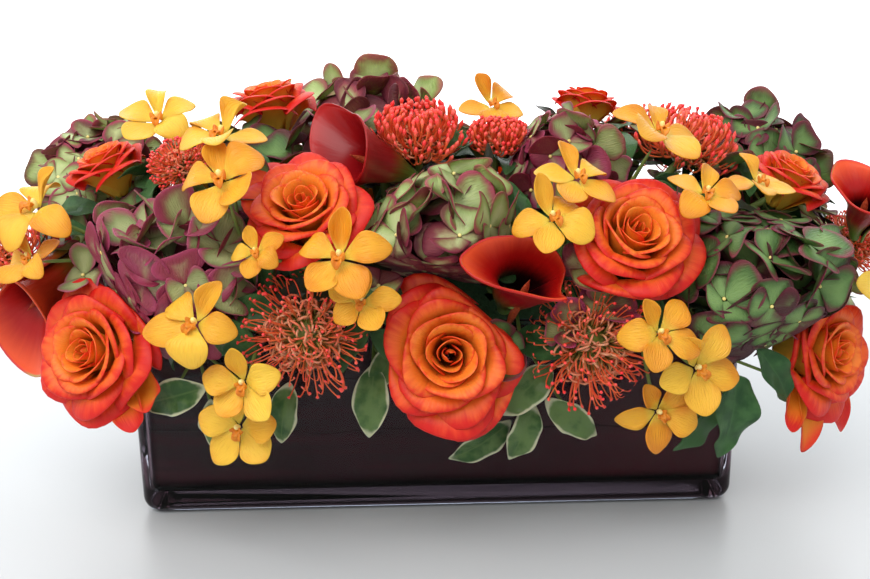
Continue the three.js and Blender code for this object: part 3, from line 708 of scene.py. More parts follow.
def rose(model, width, rng, roll, guards=()):
    """`guards` are loose petals below the rose: how far round from straight down, finish and reach."""
    size = width / 2
    for aside, finish, reach in guards:
        hang_petal(model, size, polar(1, aside - math.radians(roll) - math.pi / 2, 0), finish, reach)
    for i in range(ROSE_PETALS):
        turn = i * GOLDEN + rng.uniform(-0.15, 0.15)
        rose_petal(model, size, turn, (i + 0.5) / ROSE_PETALS, rng)
    for i in range(ROSE_SEPALS):
        rose_sepal(model, size, i * math.tau / ROSE_SEPALS)


try_out("a rose", lambda model: rose(model, 60, random.Random(0), 0))

# %% [markdown]
# ## The pincushion
#
# A pincushion protea is a knob covered in wiry styles. Each rises from the knob, bows outward, hooks back
# at its end and carries a bright little knob of its own, and between them curl short ribbons. A style is
# a sheet rolled into a five-sided tube: only fifty faces, because there are a hundred and eighty of them
# on a head.

# %% Name the pincushion's proportions
STYLES = 180
RIBBONS = 210
KNOB_SHARE = 0.26
HEAD_SINK = 0.62
HOOK = 0.7
STYLE_TIP = {"place": 0.965, "spread": 0.028, "swell": 0.62}
RIBBON_THICKNESS = 0.55
print("styles and ribbons on a pincushion:", STYLES, RIBBONS)

# %% [markdown]
# A style and a ribbon both follow a path, so each is a tube with its own path and radius. Rows are
# crowded towards a style's tip, because the knob there needs them more than the plain shaft does.

# %% Bend a style and a ribbon
def toward_tip(along):
    """Crowds the rows of a style towards its tip, where its knob needs them."""
    return 1 - (1 - along) ** 1.5


def style(model, size, way, closed, rng):
    """`way` is where on the knob it stands. It leans a little from there, and is bowed to one side."""
    knob = KNOB_SHARE * size
    sink = UP * (-HEAD_SINK * size)
    lean = (way + Vector((rng.gauss(0, 0.07), rng.gauss(0, 0.07), rng.gauss(0, 0.06)))).normalized()
    level = math.sqrt(max(0, 1 - lean.z * lean.z))
    length = size * rng.uniform(0.86, 1.0) * (0.72 + 0.28 * level) - knob
    hook = (UP - lean * lean.z) * (0.2 + 0.35 * closed) * length
    side = lean.cross(UP) * rng.uniform(-0.16, 0.16) * length
    tone = rng.random()
    thick = 0.33 + 0.2 * closed

    def path(along):
        near = toward_tip(along)
        bow = math.sin(near * math.pi)
        bent = hook * (near**2.4 - near * 0.3 + HOOK * near**9) + side * bow
        out = near * (1 - 0.1 * near**9)
        return sink + lean * (knob + length * out) * (1 - 0.06 * closed * bow) + bent

    def radius(along):
        if along in (0, 1):
            return 0
        off = (toward_tip(along) - STYLE_TIP["place"]) / STYLE_TIP["spread"]
        return thick + STYLE_TIP["swell"] * math.exp(-(off**2))

    model.tube(5, 10, path, radius, "pincushion", tone, 0.0)


def ribbon(model, size, way, rng):
    """A short ribbon that rises from the knob and curls over to a side drawn at random."""
    knob = KNOB_SHARE * size
    sink = UP * (-HEAD_SINK * size)
    first, second = tangents(way)
    turn = rng.uniform(0, math.tau)
    curl = first * math.cos(turn) + second * math.sin(turn)
    length = size * rng.uniform(0.16, 0.34) * (0.6 + 0.4 * math.sqrt(1 - way.z * way.z))

    def path(along):
        swing = along * 2.5
        rise = way * (knob + length * math.sin(swing) * 0.9)
        return sink + rise + curl * length * 0.5 * (1 - math.cos(swing))

    def radius(along):
        return 0 if along in (0, 1) else RIBBON_THICKNESS

    model.tube(4, 7, path, radius, "ribbon", rng.random())


try_out("a style", lambda model: style(model, 29, UP, 0.0, random.Random(0)))

# %% [markdown]
# The head is then two domes of directions, one for the styles and one for the ribbons, round a round core.

# %% Build a pincushion
def pincushion(model, width, rng, closed=0.0):
    """`closed` goes from 0, with its styles spread, to 1, with its styles still bowed over the knob."""
    size = width / 2
    knob = KNOB_SHARE * size
    sink = UP * (-HEAD_SINK * size)
    for way in dome_ways(STYLES, -0.4, 0.93 + 0.06 * closed):
        style(model, size, way, closed, rng)
    for way in dome_ways(RIBBONS, 0.0, 0.97):
        ribbon(model, size, way, rng)

    def core_path(along):
        return sink + UP * knob * (2 * along - 1)

    def core_radius(along):
        return knob * 1.05 * math.sqrt(max(0, 1 - (2 * along - 1) ** 2))

    model.tube(14, 10, core_path, core_radius, "pincushion", 0.5, 1.0)


try_out("a pincushion", lambda model: pincushion(model, 58, random.Random(0)))

# %% [markdown]
# ## The hydrangea
#
# A hydrangea head is a dome of florets, and each floret is four broad sepals set crosswise round a bead.
# The sepals are thick, rounded and cupped, and they overlap. A second, deeper ring of florets fills the
# gaps, stained a darker burgundy as painted shade. A square grid makes a square sepal, so each grid is first
# made round by `disc`.

# %% Build a floret
HEAD_DEPTH = 0.78
SEPAL_GRID = (4, 4)
SEPAL_LIFT = 1.2
BEAD_RADIUS = 1.2
# Painted shade: the deeper ring's `shade` raises the `ripe` of its florets, which stains them darker.
RINGS = (
    {"florets": 26, "level": 0.84, "reach": 0.4, "shade": 0.0},
    {"florets": 14, "level": 0.58, "reach": 0.42, "shade": 0.7},
)
print("florets on a hydrangea head:", sum(ring["florets"] for ring in RINGS))


def floret(model, middle, way, reach, finish, ripe, rng):
    """Four broad sepals round a bead: two below, and two above that cup more, so that none cross."""
    first, second = tangents(way)
    spin = rng.uniform(0, math.tau)
    closing = rng.uniform(0.0, 0.5)
    for k in range(4):
        upper = k % 2
        turn = spin + k * math.tau / 4 + rng.uniform(-0.2, 0.2)
        out = first * math.cos(turn) + second * math.sin(turn)
        side = way.cross(out)
        long = reach * rng.uniform(0.85, 1.12)
        half = long * rng.uniform(0.6, 0.78)
        cup = closing + (rng.uniform(0.1, 0.55) if upper else rng.uniform(-0.35, 0.0))
        fold = rng.uniform(0.1, 0.8) if upper else rng.uniform(-0.5, 0.0)
        twist = rng.uniform(-0.2, 0.2)
        lift = SEPAL_LIFT * upper
        wave = rng.uniform(0, 6)
        tone = rng.random()

        def sepal(across, along):
            aside, away = disc(across, along)
            bend = half * aside * (0.4 + 0.6 * smooth(away, 0.0, 0.45))
            reach_out = long * (0.02 + 0.98 * away) * (1 - 0.12 * abs(cup) * away)
            rise = cup * long * away**1.6 + fold * half * aside * aside * away
            rise += twist * bend * away + 0.07 * long * math.sin(4 * aside + wave) * away * away
            return middle + out * reach_out + side * bend + way * (rise + lift * away)

        model.sheet(*SEPAL_GRID, sepal, finish, tone, min(1.0, ripe + 0.25 * rng.random()))

    def bead(along):
        return middle + way * (2.4 * along - 0.4)

    model.tube(6, 4, bead, lambda along: BEAD_RADIUS * math.sin(math.pi * along), "column")


try_out("a floret", lambda model: floret(model, Vector(), UP, 14, "green hydrangea", 0, random.Random(0)))

# %% [markdown]
# On the head, florets lean a little this way and that. Those low down hang in the shade, and get a raised
# `ripe`: their darker burgundy is painted shade.

# %% Build a hydrangea head
def hydrangea(model, width, rng, finish, roll):
    size = width / 2
    sink = UP * (-HEAD_DEPTH * size)
    down = polar(-1, math.pi / 2 - math.radians(roll), 0)
    for ring in RINGS:
        for way in dome_ways(ring["florets"], -0.35):
            lean = (way + Vector([rng.gauss(0, 0.36) for _ in range(3)])).normalized()
            middle = sink + way * size * ring["level"] * rng.uniform(0.84, 1.08)
            # Painted shade: the deeper ring's `shade` and the florets low on the head raise `ripe`; the
            # random part is real ripeness.
            ripe = ring["shade"] + 1.5 * max(0, way.dot(down) - 0.1) + 0.4 * rng.random() ** 2
            floret(model, middle, lean, ring["reach"] * size, finish, min(1, ripe), rng)

    # Painted shade: the core is a dark plum solid in the hollow behind the florets.
    def core_path(along):
        return sink + UP * size * (along - 0.5)

    model.tube(10, 8, core_path, lambda along: 0.5 * size * math.sin(math.pi * along), "plum leaf")


try_out("a hydrangea", lambda model: hydrangea(model, 70, random.Random(0), "green hydrangea", 0))

# %% [markdown]
# ## The calla
#
# A calla is one leaf rolled into a funnel round a spadix. Its lip flares all round and runs out to a
# point on one side. The outside is glossy and red, and the throat goes almost black. The two sides of one
# sheet get two finishes from the Solidify modifier, which gives the far side the next material slot.

# %% Build a calla
MOUTH_SHIFT = 0.17
CALLA_FOOT = -0.78
OVERLAP = 1.08
LIP = {"radius": 0.29, "toward": 0.08, "point": 0.24}
SPADIX_RADIUS = 2.3
NECK_BEND = 0.08


def calla(model, length, roll, finish, neck_bend=NECK_BEND):
    """`neck_bend` is how far the neck bends up behind the lip, as on a cut calla that leans out of a vase."""
    foot = CALLA_FOOT * length
    up = polar(1, math.pi / 2 - math.radians(roll), 0)

    def spathe(across, along):
        turn = math.pi * (across * OVERLAP + 0.05)
        toward = math.cos(turn)
        point = max(0, toward) ** 6
        flare = smooth(along, 0.35, 1.0) ** 1.4
        rim = length * (LIP["radius"] + LIP["toward"] * toward + LIP["point"] * point)
        neck = length * (0.06 + 0.09 * smooth(along, 0, 0.45))
        radius = neck + (rim - neck) * flare - 0.03 * length * across * (1 - flare)
        lip = length * (0.02 + 0.09 * toward)
        roll_back = 0.07 * length * smooth(along, 0.86, 1) * (1 - 0.5 * point)
        bend = up * neck_bend * length * (1 - along) ** 1.6
        bend.x -= MOUTH_SHIFT * length * smooth(along, 0.2, 1)
        return polar(radius, turn, foot + (lip - foot) * along**0.85 - roll_back) + bend

    model.sheet(36, 18, spathe, finish)

    def core_path(along):
        bend = up * neck_bend * 0.3 * (1 - along)
        return (Vector((-0.06 * along, 0, 0.5 * along - 0.62)) + bend) * length

    def core_radius(along):
        return SPADIX_RADIUS * math.sin(math.pi * min(along + 0.08, 1)) ** 0.4

    model.tube(9, 12, core_path, core_radius, "spadix")


try_out("a calla", lambda model: calla(model, 80, 0, "calla"))

# %% [markdown]
# ## The orchid
#
# These are small golden orchids with five petals of three kinds: a narrow, folded hood on top, two wings
# at the sides and two broad feet below. A short orange lip of three lobes hangs from the middle, and a pale
# column stands above it. All petals share one rule, and a kind is only the few numbers that tell it
# apart.

# %% Bend an orchid's petal
ORCHID_PETALS = 5
ORCHID_GRID = (5, 7)
HOOD = {"long": 0.96, "half": 0.24, "fold": 1.1, "nod": 0.25}
WING = {"long": 1.0, "half": 0.36, "fold": 0.25, "nod": -0.2}
FOOT = {"long": 1.0, "half": 0.4, "fold": 0.2, "nod": 0.1}


def orchid_petal(model, size, turn, form, front, mood, rng):
    """One petal of a kind. Every second petal stands a little in `front`, so that no two cross."""
    turn += rng.uniform(-0.14, 0.14)
    out = polar(1, turn, 0)
    side = UP.cross(out)
    long = size * form["long"] * rng.uniform(0.9, 1.06)
    half = size * form["half"] * rng.uniform(0.9, 1.1)
    arch = rng.uniform(-0.05, 0.25)
    nod = form["nod"] + rng.uniform(-0.3, 0.3)
    twist = rng.uniform(-0.5, 0.5)
    fold = form["fold"] * rng.uniform(0.5, 1.3)

    def petal(across, along):
        aside, away = disc(across, along)
        bend = half * aside * (0.36 + 0.64 * smooth(away, 0.0, 0.55))
        point = 0.1 * away * away * (1 - abs(aside)) ** 2
        rise = long * (0.1 * away + arch * math.sin(away * math.pi) + nod * away**2.2)
        rise += fold * bend * bend / half + twist * bend * away + front * 0.5
        reach = 0.05 + 0.9 * away + point - 0.2 * abs(nod) * away**3
        return out * long * reach + side * bend + UP * rise

    model.sheet(*ORCHID_GRID, petal, "orchid", min(1, mood + 0.4 * rng.random()))


try_out("an orchid's petal", lambda model: orchid_petal(model, 21, 0, WING, 0, 0.5, random.Random(0)))

# %% [markdown]
# The petal nearest to upright is the hood, and wings and feet follow round from it. The lip hangs
# opposite the hood: each of its lobes rises from the middle, bows and hangs over.

# %% Build an orchid flower
KINDS_ROUND = (HOOD, WING, FOOT, FOOT, WING)
LOBES = ((-0.9, 0.15), (0, 0.3), (0.9, 0.15))
LOBE_HALF = 0.11


def orchid_lobe(model, size, out, reach):
    side = UP.cross(out)

    def lobe(across, along):
        aside, away = disc(across, along)
        bend = size * LOBE_HALF * aside
        rise = size * (0.08 + 0.26 * math.sin(away * 2.2) - 0.16 * away) + 0.8 * abs(bend)
        return out * size * reach * away + side * bend + UP * rise

    model.sheet(4, 4, lobe, "lip", 0.5)


def orchid(model, width, rng, roll):
    size = width / 2
    mood = rng.random() * 0.7
    upright = round((90 - roll) / 72)
    for k in range(ORCHID_PETALS):
        form = KINDS_ROUND[(k - upright) % ORCHID_PETALS]
        orchid_petal(model, size, k * math.tau / ORCHID_PETALS, form, k % 2, mood, rng)
    below = upright * math.tau / ORCHID_PETALS + math.pi
    for aside, reach in LOBES:
        orchid_lobe(model, size, polar(1, below + aside, 0), reach)

    def column(along):
        return UP * size * (0.03 + 0.28 * along) - polar(1, below, 0) * size * 0.08 * along

    model.tube(8, 6, column, lambda along: size * 0.075 * math.sin(math.pi * along) ** 0.5, "column")


try_out("an orchid flower", lambda model: orchid(model, 42, random.Random(0), 0))

# %% [markdown]
# ## Leaves
#
# The sprigs over the rim carry oval leaves with waved blades, most of them cream-edged. A leaf bends down
# along its length, folds a little along its midrib, and its edge rises and falls in waves.

# %% Build a leaf
LEAF_WIDTH = 0.5
LEAF_GRID = (6, 10)
LEAF_WAVES = 13


def leaf(model, length, rng, finish, grid=LEAF_GRID):
    size = length / 2
    wave = rng.uniform(0, 6)
    depth = rng.uniform(0.07, 0.16)
    half = size * LEAF_WIDTH * rng.uniform(0.9, 1.1)

    def blade(across, along):
        aside, away = disc(across, along)
        reach = 2 * away - 1
        width = half * aside * (1 - 0.18 * reach - 0.3 * reach * reach)
        point = 0.12 * reach**3 * (1 - abs(aside)) ** 2
        droop = -0.22 * reach * reach
        ruffle = depth * math.sin(LEAF_WAVES * away + wave + 1.2 * across) * abs(across) ** 2
        return Vector((size * (reach + point), width, size * (droop + 0.16 * abs(aside) + ruffle)))

    model.sheet(*grid, blade, finish, rng.random())


try_out("a leaf", lambda model: leaf(model, 40, random.Random(0), "variegated leaf"))

# %% [markdown]
# ## Where everything goes
#
# These rows are the arrangement itself, as in the part's own source but for one orchid that sits a little
# lower: the middle of a bloom's face in x, y and z, its width and its roll. A bloom faces away from the
# heart of the mound, which is a line along the vase, unless its row gives a facing. So a mound of blooms
# needs no angles of its own.

# %% List the blooms
ROSES = [
    (-166, -88, 105, 57, 10),
    (-61, -84, 176, 54, 40),
    (5, -108, 107, 68, 75),
    (92, -92, 161, 60, 0),
    (198, -66, 88, 56, 30),
    (-84, 8, 210, 50, 15),
    (-166, -12, 182, 44, 60),
    (182, -25, 172, 44, 20),
    (84, 32, 201, 38, 45),
    (-130, 58, 172, 52, 30),
    (-48, 96, 124, 62, 0),
    (66, 84, 162, 56, 50),
    (152, 86, 114, 58, 70),
]
PINCUSHIONS = [
    (-63, -110, 122, 58, 0),
    (74, -108, 114, 60, 40),
    (-8, -36, 202, 46, 10),
    (33, -24, 196, 34, 60),
    (-124, -42, 190, 34, 0),
    (134, -4, 192, 56, 30),
    (-219, -33, 139, 46, 0),
    (228, -2, 134, 42, 50),
    (2, 82, 170, 54, 20),
    (124, 62, 180, 48, 0),
]
HYDRANGEAS = [
    (-132, -84, 154, 80, 0),
    (2, -86, 170, 74, 20),
    (164, -86, 142, 82, 35),
    (63, -25, 194, 62, 10),
    (-182, 28, 182, 72, 50),
    (-34, 42, 202, 82, 0),
    (182, 32, 182, 72, 15),
    (-112, 96, 128, 80, 30),
    (34, 102, 124, 76, 0),
    (210, 46, 128, 70, 40),
]
CALLAS = [
    (38, -106, 148, 56, 190, (0.1, -0.42, 0.9)),
    (-47, -54, 194, 56, 150, (-0.8, -0.35, 0.55)),
    (-206, -50, 102, 66, 250, (-0.5, -0.6, -0.45)),
    (212, -34, 164, 46, 120, (-0.1, -0.35, 0.9)),
    (-196, 52, 122, 62, 20, (-0.7, 0.6, 0.3)),
]
ORCHID_SPRAYS = [
    [(-95, -90, 184, 44, 110), (-97, -66, 199, 42, 80)],
    [(-187, -56, 164, 46, 130), (-190, -64, 142, 34, 270)],
    [(-135, -14, 197, 44, 100, (-0.1, -0.6, 0.8))],
    [(-108, -108, 124, 42, 60)],
    [(-88, -110, 96, 38, 95), (-92, -103, 72, 40, 20)],
    [(-43, -112, 154, 42, 300), (-34, -112, 134, 32, 80), (-80, -104, 155, 26, 40)],
    [(64, -80, 180, 38, 100), (51, -98, 166, 38, 40)],
    [(106, -52, 194, 46, 90), (122, -82, 172, 36, 60), (152, -58, 171, 36, 20)],
    [(97, -116, 118, 38, 110), (116, -108, 98, 42, 50), (101, -100, 74, 38, 270)],
    [(30, -2, 200, 36, 45, (0.1, -0.65, 0.75))],
    [(220, -44, 108, 48, 0)],
    [(-92, 98, 158, 42, 90), (-84, 76, 184, 40, 30)],
    [(102, 102, 142, 42, 60), (92, 104, 92, 40, 0)],
]
LEAF_SPRIGS = [
    [(-126, -86, 80, 34, 200), (-107, -82, 62, 26, 280), (-74, -82, 68, 30, 260)],
    [(-32, -88, 76, 34, 265), (-24, -84, 94, 26, 60)],
    [(42, -92, 84, 36, 40), (20, -80, 50, 34, 215), (40, -84, 56, 30, 250), (64, -86, 64, 32, 320)],
    [(140, -86, 66, 46, 262), (126, -76, 54, 30, 230), (162, -80, 82, 34, 300)],
    [(-8, 82, 74, 36, 90), (-30, 78, 60, 30, 70), (10, 80, 56, 32, 110)],
    [(128, 78, 68, 38, 80), (150, 76, 78, 32, 120), (106, 78, 58, 30, 60)],
]
print("places:", sum(map(len, (ROSES, PINCUSHIONS, HYDRANGEAS, CALLAS, *ORCHID_SPRAYS, *LEAF_SPRIGS))))

# %% [markdown]
# Some blooms stand out from their kind. These tables say which, by the number in a piece's name: heads of
# another colour, loose petals under a rose, a bent neck, or a pincushion that is still closed.

# %% Note what sets some blooms apart
HEAD_FINISH = {1: "mauve hydrangea", 3: "dark hydrangea", 4: "mauve hydrangea", 7: "dark hydrangea"}
GUARDS = {
    1: ((1.1, "rose", 1.1), (0.7, "rose back", 1.04)),
    5: ((-0.85, "rose back", 1.3), (-0.4, "rose", 1.25), (0.35, "rose back", 1.2)),
    11: ((-0.5, "rose", 1.2),),
}
CALLA_FINISH = {2: "crimson calla", 3: "coral calla", 5: "crimson calla"}
NECK_BENDS = {1: 0.4}
LEAF_FINISH = {4: "dark leaf"}
CLOSED_HEADS = {3: 1.0, 4: 0.8, 6: 0.7, 7: 0.3, 10: 0.6}
print("roses with loose petals:", sorted(GUARDS), "closed pincushions:", sorted(CLOSED_HEADS))

# %% [markdown]
# A bloom is built facing up, with the middle of its face at the origin, and then turned to its place. Its
# roll is measured from the viewer's right, so we first find that direction for the way it faces. Blooms
# low on the long sides are seen best and swell a little past their solids; those on top keep their size.

# %% Turn a bloom to its place
HEART_SPREAD = 0.72
HEART_HEIGHT = 66
ROOT_DEPTH = {"rose": 0.6, "pincushion": 0.62, "hydrangea": 0.78, "calla": 1.0, "orchid": 0.112}
LEAF_ROOT = 1.4
FULLNESS = {"rose": 1.24, "pincushion": 1.24, "hydrangea": 1.15, "calla": 1.26, "orchid": 1.06, "leaf": 1.0}

SWELL_FROM, SWELL_FULL = 20, 80
STEEP = 0.9


def facing_of(row):
    x, y, z = row[:3]
    way = row[5] if len(row) > 5 else (x - x * HEART_SPREAD, y, z - HEART_HEIGHT)
    return Vector(way).normalized()


def bearing(row):
    way = facing_of(row)
    across = Vector((1, 0, 0)) if abs(way.z) > STEEP else UP.cross(way)
    right = (across - way * across.dot(way)).normalized()
    turn = Matrix((right, way.cross(right), way)).transposed().to_4x4()
    return Matrix.Translation(row[:3]) @ turn @ Matrix.Rotation(math.radians(row[4]), 4, "Z")


def fullness(kind, row):
    return 1 + (FULLNESS[kind] - 1) * smooth(abs(row[1]), SWELL_FROM, SWELL_FULL)


class Unit:
    """One bloom in its place: its corners in the model, its heart, and how freely it gives way."""

    def __init__(self, owner, model, build, kind, row, softness):
        build(row[3] * fullness(kind, row))
        self.corners = model.take_fresh()
        turn = bearing(row)
        for corner in self.corners:
            corner.co = turn @ corner.co
        below = LEAF_ROOT if kind == "leaf" else ROOT_DEPTH[kind] * row[3] / 2
        self.heart = np.array(turn @ Vector((0, 0, -below)))
        self.places = np.array([corner.co for corner in self.corners])
        self.extent = np.linalg.norm(self.places - self.heart, axis=1).max()
        self.way = np.array(facing_of(row))
        self.owner = owner
        self.kind = kind
        self.softness = softness
        self.planes = []


print("the first rose faces", [round(value, 2) for value in facing_of(ROSES[0])])

# %% [markdown]
# ## Neighbours give way
#
# Fresh blooms are pushed together until they touch, and each keeps to its own room. For two neighbours we
# look for the plane that parts them with the least pressing. We try the way from heart to heart and many
# others that lead the same way, and take the one on which the overlap is the smallest share of the room
# between the hearts.

# %% Find the plane between two neighbours
SOFTNESS = {"rose": 0.5, "pincushion": 0.6, "hydrangea": 1.6, "calla": 0.4, "orchid": 0.5, "leaf": 1.5}
PART_GAP = 0.3
LEAST_ALIKE = 0.1
LEAST_ROOM = 0.5
DIRECTIONS = np.array([tuple(way) for way in dome_ways(160, -1.0)])
print("directions tried:", len(DIRECTIONS))


def parting(first, second):
    """The way and the two levels between which two neighbours are parted best, or None if they are clear."""
    between = second.heart - first.heart
    between /= np.linalg.norm(between)
    ways = np.vstack([between, DIRECTIONS[DIRECTIONS @ between > LEAST_ALIKE]])
    high = (first.places @ ways.T).max(axis=0)
    low = (second.places @ ways.T).min(axis=0)
    press = high - low + PART_GAP
    if press.min() <= 0:
        return None
    start = ways @ first.heart
    end = low if second.softness is None else ways @ second.heart
    best = np.argmin(press / np.maximum(end - start, LEAST_ROOM))
    return ways[best], high[best], low[best], start[best], end[best]

# %% [markdown]
# The plane is then set between the two by their softness, and it leaves each a share of its own room.
# What isn't soft, such as the vase, doesn't give way at all. Each bloom notes its planes, and pays heed
# to all of them later.

# %% Set the planes
KEPT_SHARE = 0.3
print("share of the room that each keeps:", KEPT_SHARE)


def part_pair(first, second, pressing_first=True):
    if first.softness is None:
        first, second = second, first
    if first.owner == second.owner or first.softness is None:
        return
    if np.linalg.norm(first.heart - second.heart) > first.extent + second.extent:
        return
    found = parting(first, second)
    if found is None:
        return
    way, high, low, start, end = found
    if second.softness is None:
        first.planes.append((way, low - PART_GAP))
        return
    kept = KEPT_SHARE * (end - start)
    share = first.softness / (first.softness + second.softness) if pressing_first else 0
    level = min(max(high - (high - low) * share, start + kept), end - kept)
    if pressing_first:
        first.planes.append((way, level))
    second.planes.append((-way, -(level + PART_GAP)))


def part_neighbours(units):
    for i, first in enumerate(units):
        for second in units[i + 1 :]:
            part_pair(first, second)

# %% [markdown]
# Last, every corner that would pass a plane is pressed back towards its bloom's heart. The outer part of
# the way there takes up all that lay beyond, as a soft thing does, so petals crowd up and never cross.

# %% Press a bloom in
OUTER_SHARE = 0.15
print("share of the way that is squeezed:", OUTER_SHARE)


def press_in(unit):
    arms = unit.places - unit.heart
    lengths = np.maximum(np.linalg.norm(arms, axis=1), 1e-6)
    ways = arms / lengths[:, None]
    limit = np.full(len(ways), np.inf)
    for way, level in unit.planes:
        slope = ways @ way
        reach = np.where(slope > 1e-4, (level - way @ unit.heart) / np.maximum(slope, 1e-4), np.inf)
        limit = np.minimum(limit, reach)
    pressing = np.isfinite(limit)
    pressing[pressing] = lengths[pressing] > (1 - OUTER_SHARE) * limit[pressing]
    limit = limit[pressing]
    soft = OUTER_SHARE * limit
    pressed = limit - soft * np.exp(-(lengths[pressing] - limit + soft) / soft)
    places = unit.heart + ways[pressing] * pressed[:, None]
    unit.places[pressing] = places
    for i, place in zip(np.flatnonzero(pressing), places):
        unit.corners[i].co = place

# %% [markdown]
# ## Stems
#
# The coarse solid of a bloom also holds its stem, which ends deep in the foam. We find that end in the
# solid itself, as the corners that lie farthest from the bloom's heart inside the foam, and lead a slim
# stem to it. Low blooms hang outside the vase, so their stems first rise over its rim.

# %% Lead the stems into the foam
vase_low, vase_high = (Vector(corner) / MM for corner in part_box("vase"))
foam_low, foam_high = (Vector(corner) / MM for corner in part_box("floral_foam"))
STEM_RADIUS = {"rose": 2.2, "pincushion": 2.2, "hydrangea": 2.6, "calla": 3.0, "orchid": 1.1, "leaf": 1.0}
SIDE_STEM = 0.85
IN_FOAM = 26
FOAM_MARGIN = 4
DEEP_CORNERS = 4
STRAIGHT_ABOVE, STRAIGHT_WITHIN = 18, 70
BEYOND_END = 34
ASLANT, DIP = 0.3, 0.35
print("the foam reaches up to", round(foam_high.z), "mm, the rim to", round(vase_high.z), "mm")


def stem_points(node, heart, radius):
    """From the bloom's heart to its stem's end, straight, or by a point out in front of the hole."""
    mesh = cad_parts[node].data
    places = np.array([tuple(vertex.co) for vertex in mesh.vertices]) / MM
    room = np.array(foam_high) - FOAM_MARGIN
    inside = (np.abs(places[:, 0]) < room[0]) & (np.abs(places[:, 1]) < room[1]) & (places[:, 2] < room[2])
    deep = places[inside]
    far = deep[np.argsort(-np.linalg.norm(deep - heart, axis=1))[:DEEP_CORNERS]]
    end = Vector(far.mean(axis=0))
    start = Vector(heart)
    if start.z > foam_high.z + STRAIGHT_ABOVE and abs(start.y) < STRAIGHT_WITHIN:
        return [start, end]
    if abs(start.x) > foam_high.x + BEYOND_END:
        level = (-math.copysign(1, start.x), 0)
    else:
        level = (-math.copysign(ASLANT, start.x), -math.copysign(1, start.y))
    inward = Vector((*level, -DIP)).normalized()
    return [start, end - inward * (IN_FOAM + 1.6 * radius + 1), end]


def add_stem(model, points, radius):
    def path(along):
        place = along * (len(points) - 1)
        i = min(int(place), len(points) - 2)
        return points[i].lerp(points[i + 1], place - i)

    model.tube(8, 8, path, lambda along: 0 if along in (0, 1) else radius, "stem")

# %% [markdown]
# ## Building the pieces
#
# Six families of bloom fill the vase. One small function each says how a bloom of that family grows from
# its row, and a table holds what else differs: the places, the kind, and the slot that a piece's finish
# stands for.

# %% List the families
def grow_rose(model, width, rng, row, number):
    rose(model, width, rng, row[4], GUARDS.get(number, ()))


def grow_pincushion(model, width, rng, _, number):
    pincushion(model, width, rng, CLOSED_HEADS.get(number, 0.0))


def grow_hydrangea(model, width, rng, row, number):
    hydrangea(model, width, rng, HEAD_FINISH.get(number, "green hydrangea"), row[4])


def grow_calla(model, width, _, row, number):
    calla(model, width, row[4], CALLA_FINISH.get(number, "calla"), NECK_BENDS.get(number, NECK_BEND))


def grow_orchid(model, width, rng, row, _):
    orchid(model, width, rng, row[4])


def grow_leaf(model, width, rng, _, number):
    leaf(model, width, rng, LEAF_FINISH.get(number, "variegated leaf"))


FAMILIES = (
    ("rose", ROSES, "rose", grow_rose, "rose_petal"),
    ("pincushion", PINCUSHIONS, "pincushion", grow_pincushion, "pincushion_style"),
    ("hydrangea", HYDRANGEAS, "hydrangea", grow_hydrangea, "hydrangea_sepal"),
    ("calla", CALLAS, "calla", grow_calla, "calla_spathe"),
    ("orchid_spray", ORCHID_SPRAYS, "orchid", grow_orchid, "orchid_petal"),
    ("leaf_sprig", LEAF_SPRIGS, "leaf", grow_leaf, "variegated_leaf"),
)
print("families:", [family[0] for family in FAMILIES])

# %% [markdown]
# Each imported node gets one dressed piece. We seed the random draws with the node's own number, so a piece
# comes out the same every time. All blooms are built first, then pressed apart, and only then made into
# objects.

# %% Build every bloom
units = []
pieces = []


def start_piece(node, kind, slot, grow, rows, number, seed):
    """One piece with a bloom for each of its rows. They share one stream of random draws."""
    model = Model()
    rng = random.Random(seed)
    owned = []
    for row in rows:

        def build(width):
            grow(model, width, rng, row, number)

        owned.append(Unit(node, model, build, kind, row, SOFTNESS[kind]))
    units.extend(owned)
    pieces.append({"node": node, "kind": kind, "slot": slot, "model": model, "units": owned})


for family, (name, places, kind, grow, slot) in enumerate(FAMILIES, 1):
    for number, place in enumerate(places, 1):
        rows = place if isinstance(place, list) else [place]
        start_piece(f"{name}_{number:02d}", kind, slot, grow, rows, number, 100 * family + number)
print("blooms:", len(units), "corners:", sum(len(unit.corners) for unit in units))

# %% [markdown]
# The vase and the proud top of the foam are neighbours too, but hard ones. A box round each will do for
# them.

# %% Press them apart
class Holder:
    """A hard box that blooms give way to."""

    softness = None

    def __init__(self, owner, low, high):
        self.owner = owner
        self.places = np.array(list(itertools.product(*zip(low, high))))
        self.heart = self.places.mean(axis=0)
        self.extent = np.linalg.norm(self.places - self.heart, axis=1).max()


foam_top_low = Vector((foam_low.x, foam_low.y, vase_high.z))
holders = [Holder("vase", vase_low, vase_high), Holder("floral_foam", foam_top_low, foam_high)]
part_neighbours([*units, *holders])
for unit in units:
    press_in(unit)
print("planes:", sum(len(unit.planes) for unit in units))

# %% [markdown]
# A mesh becomes an object with two live modifiers. Solidify gives sheets their thickness, and the finish
# of their far side, and Subdivision rounds them. Each piece then hides the node that it replaces and rides
# on the body. Pincushions are all tubes, thin and many, so they stay as they are.

# %% Make the pieces into objects
THICKNESS = {"rose": 0.5, "pincushion": 0, "hydrangea": 0.5, "calla": 1.1, "orchid": 0.7, "leaf": 0.6}


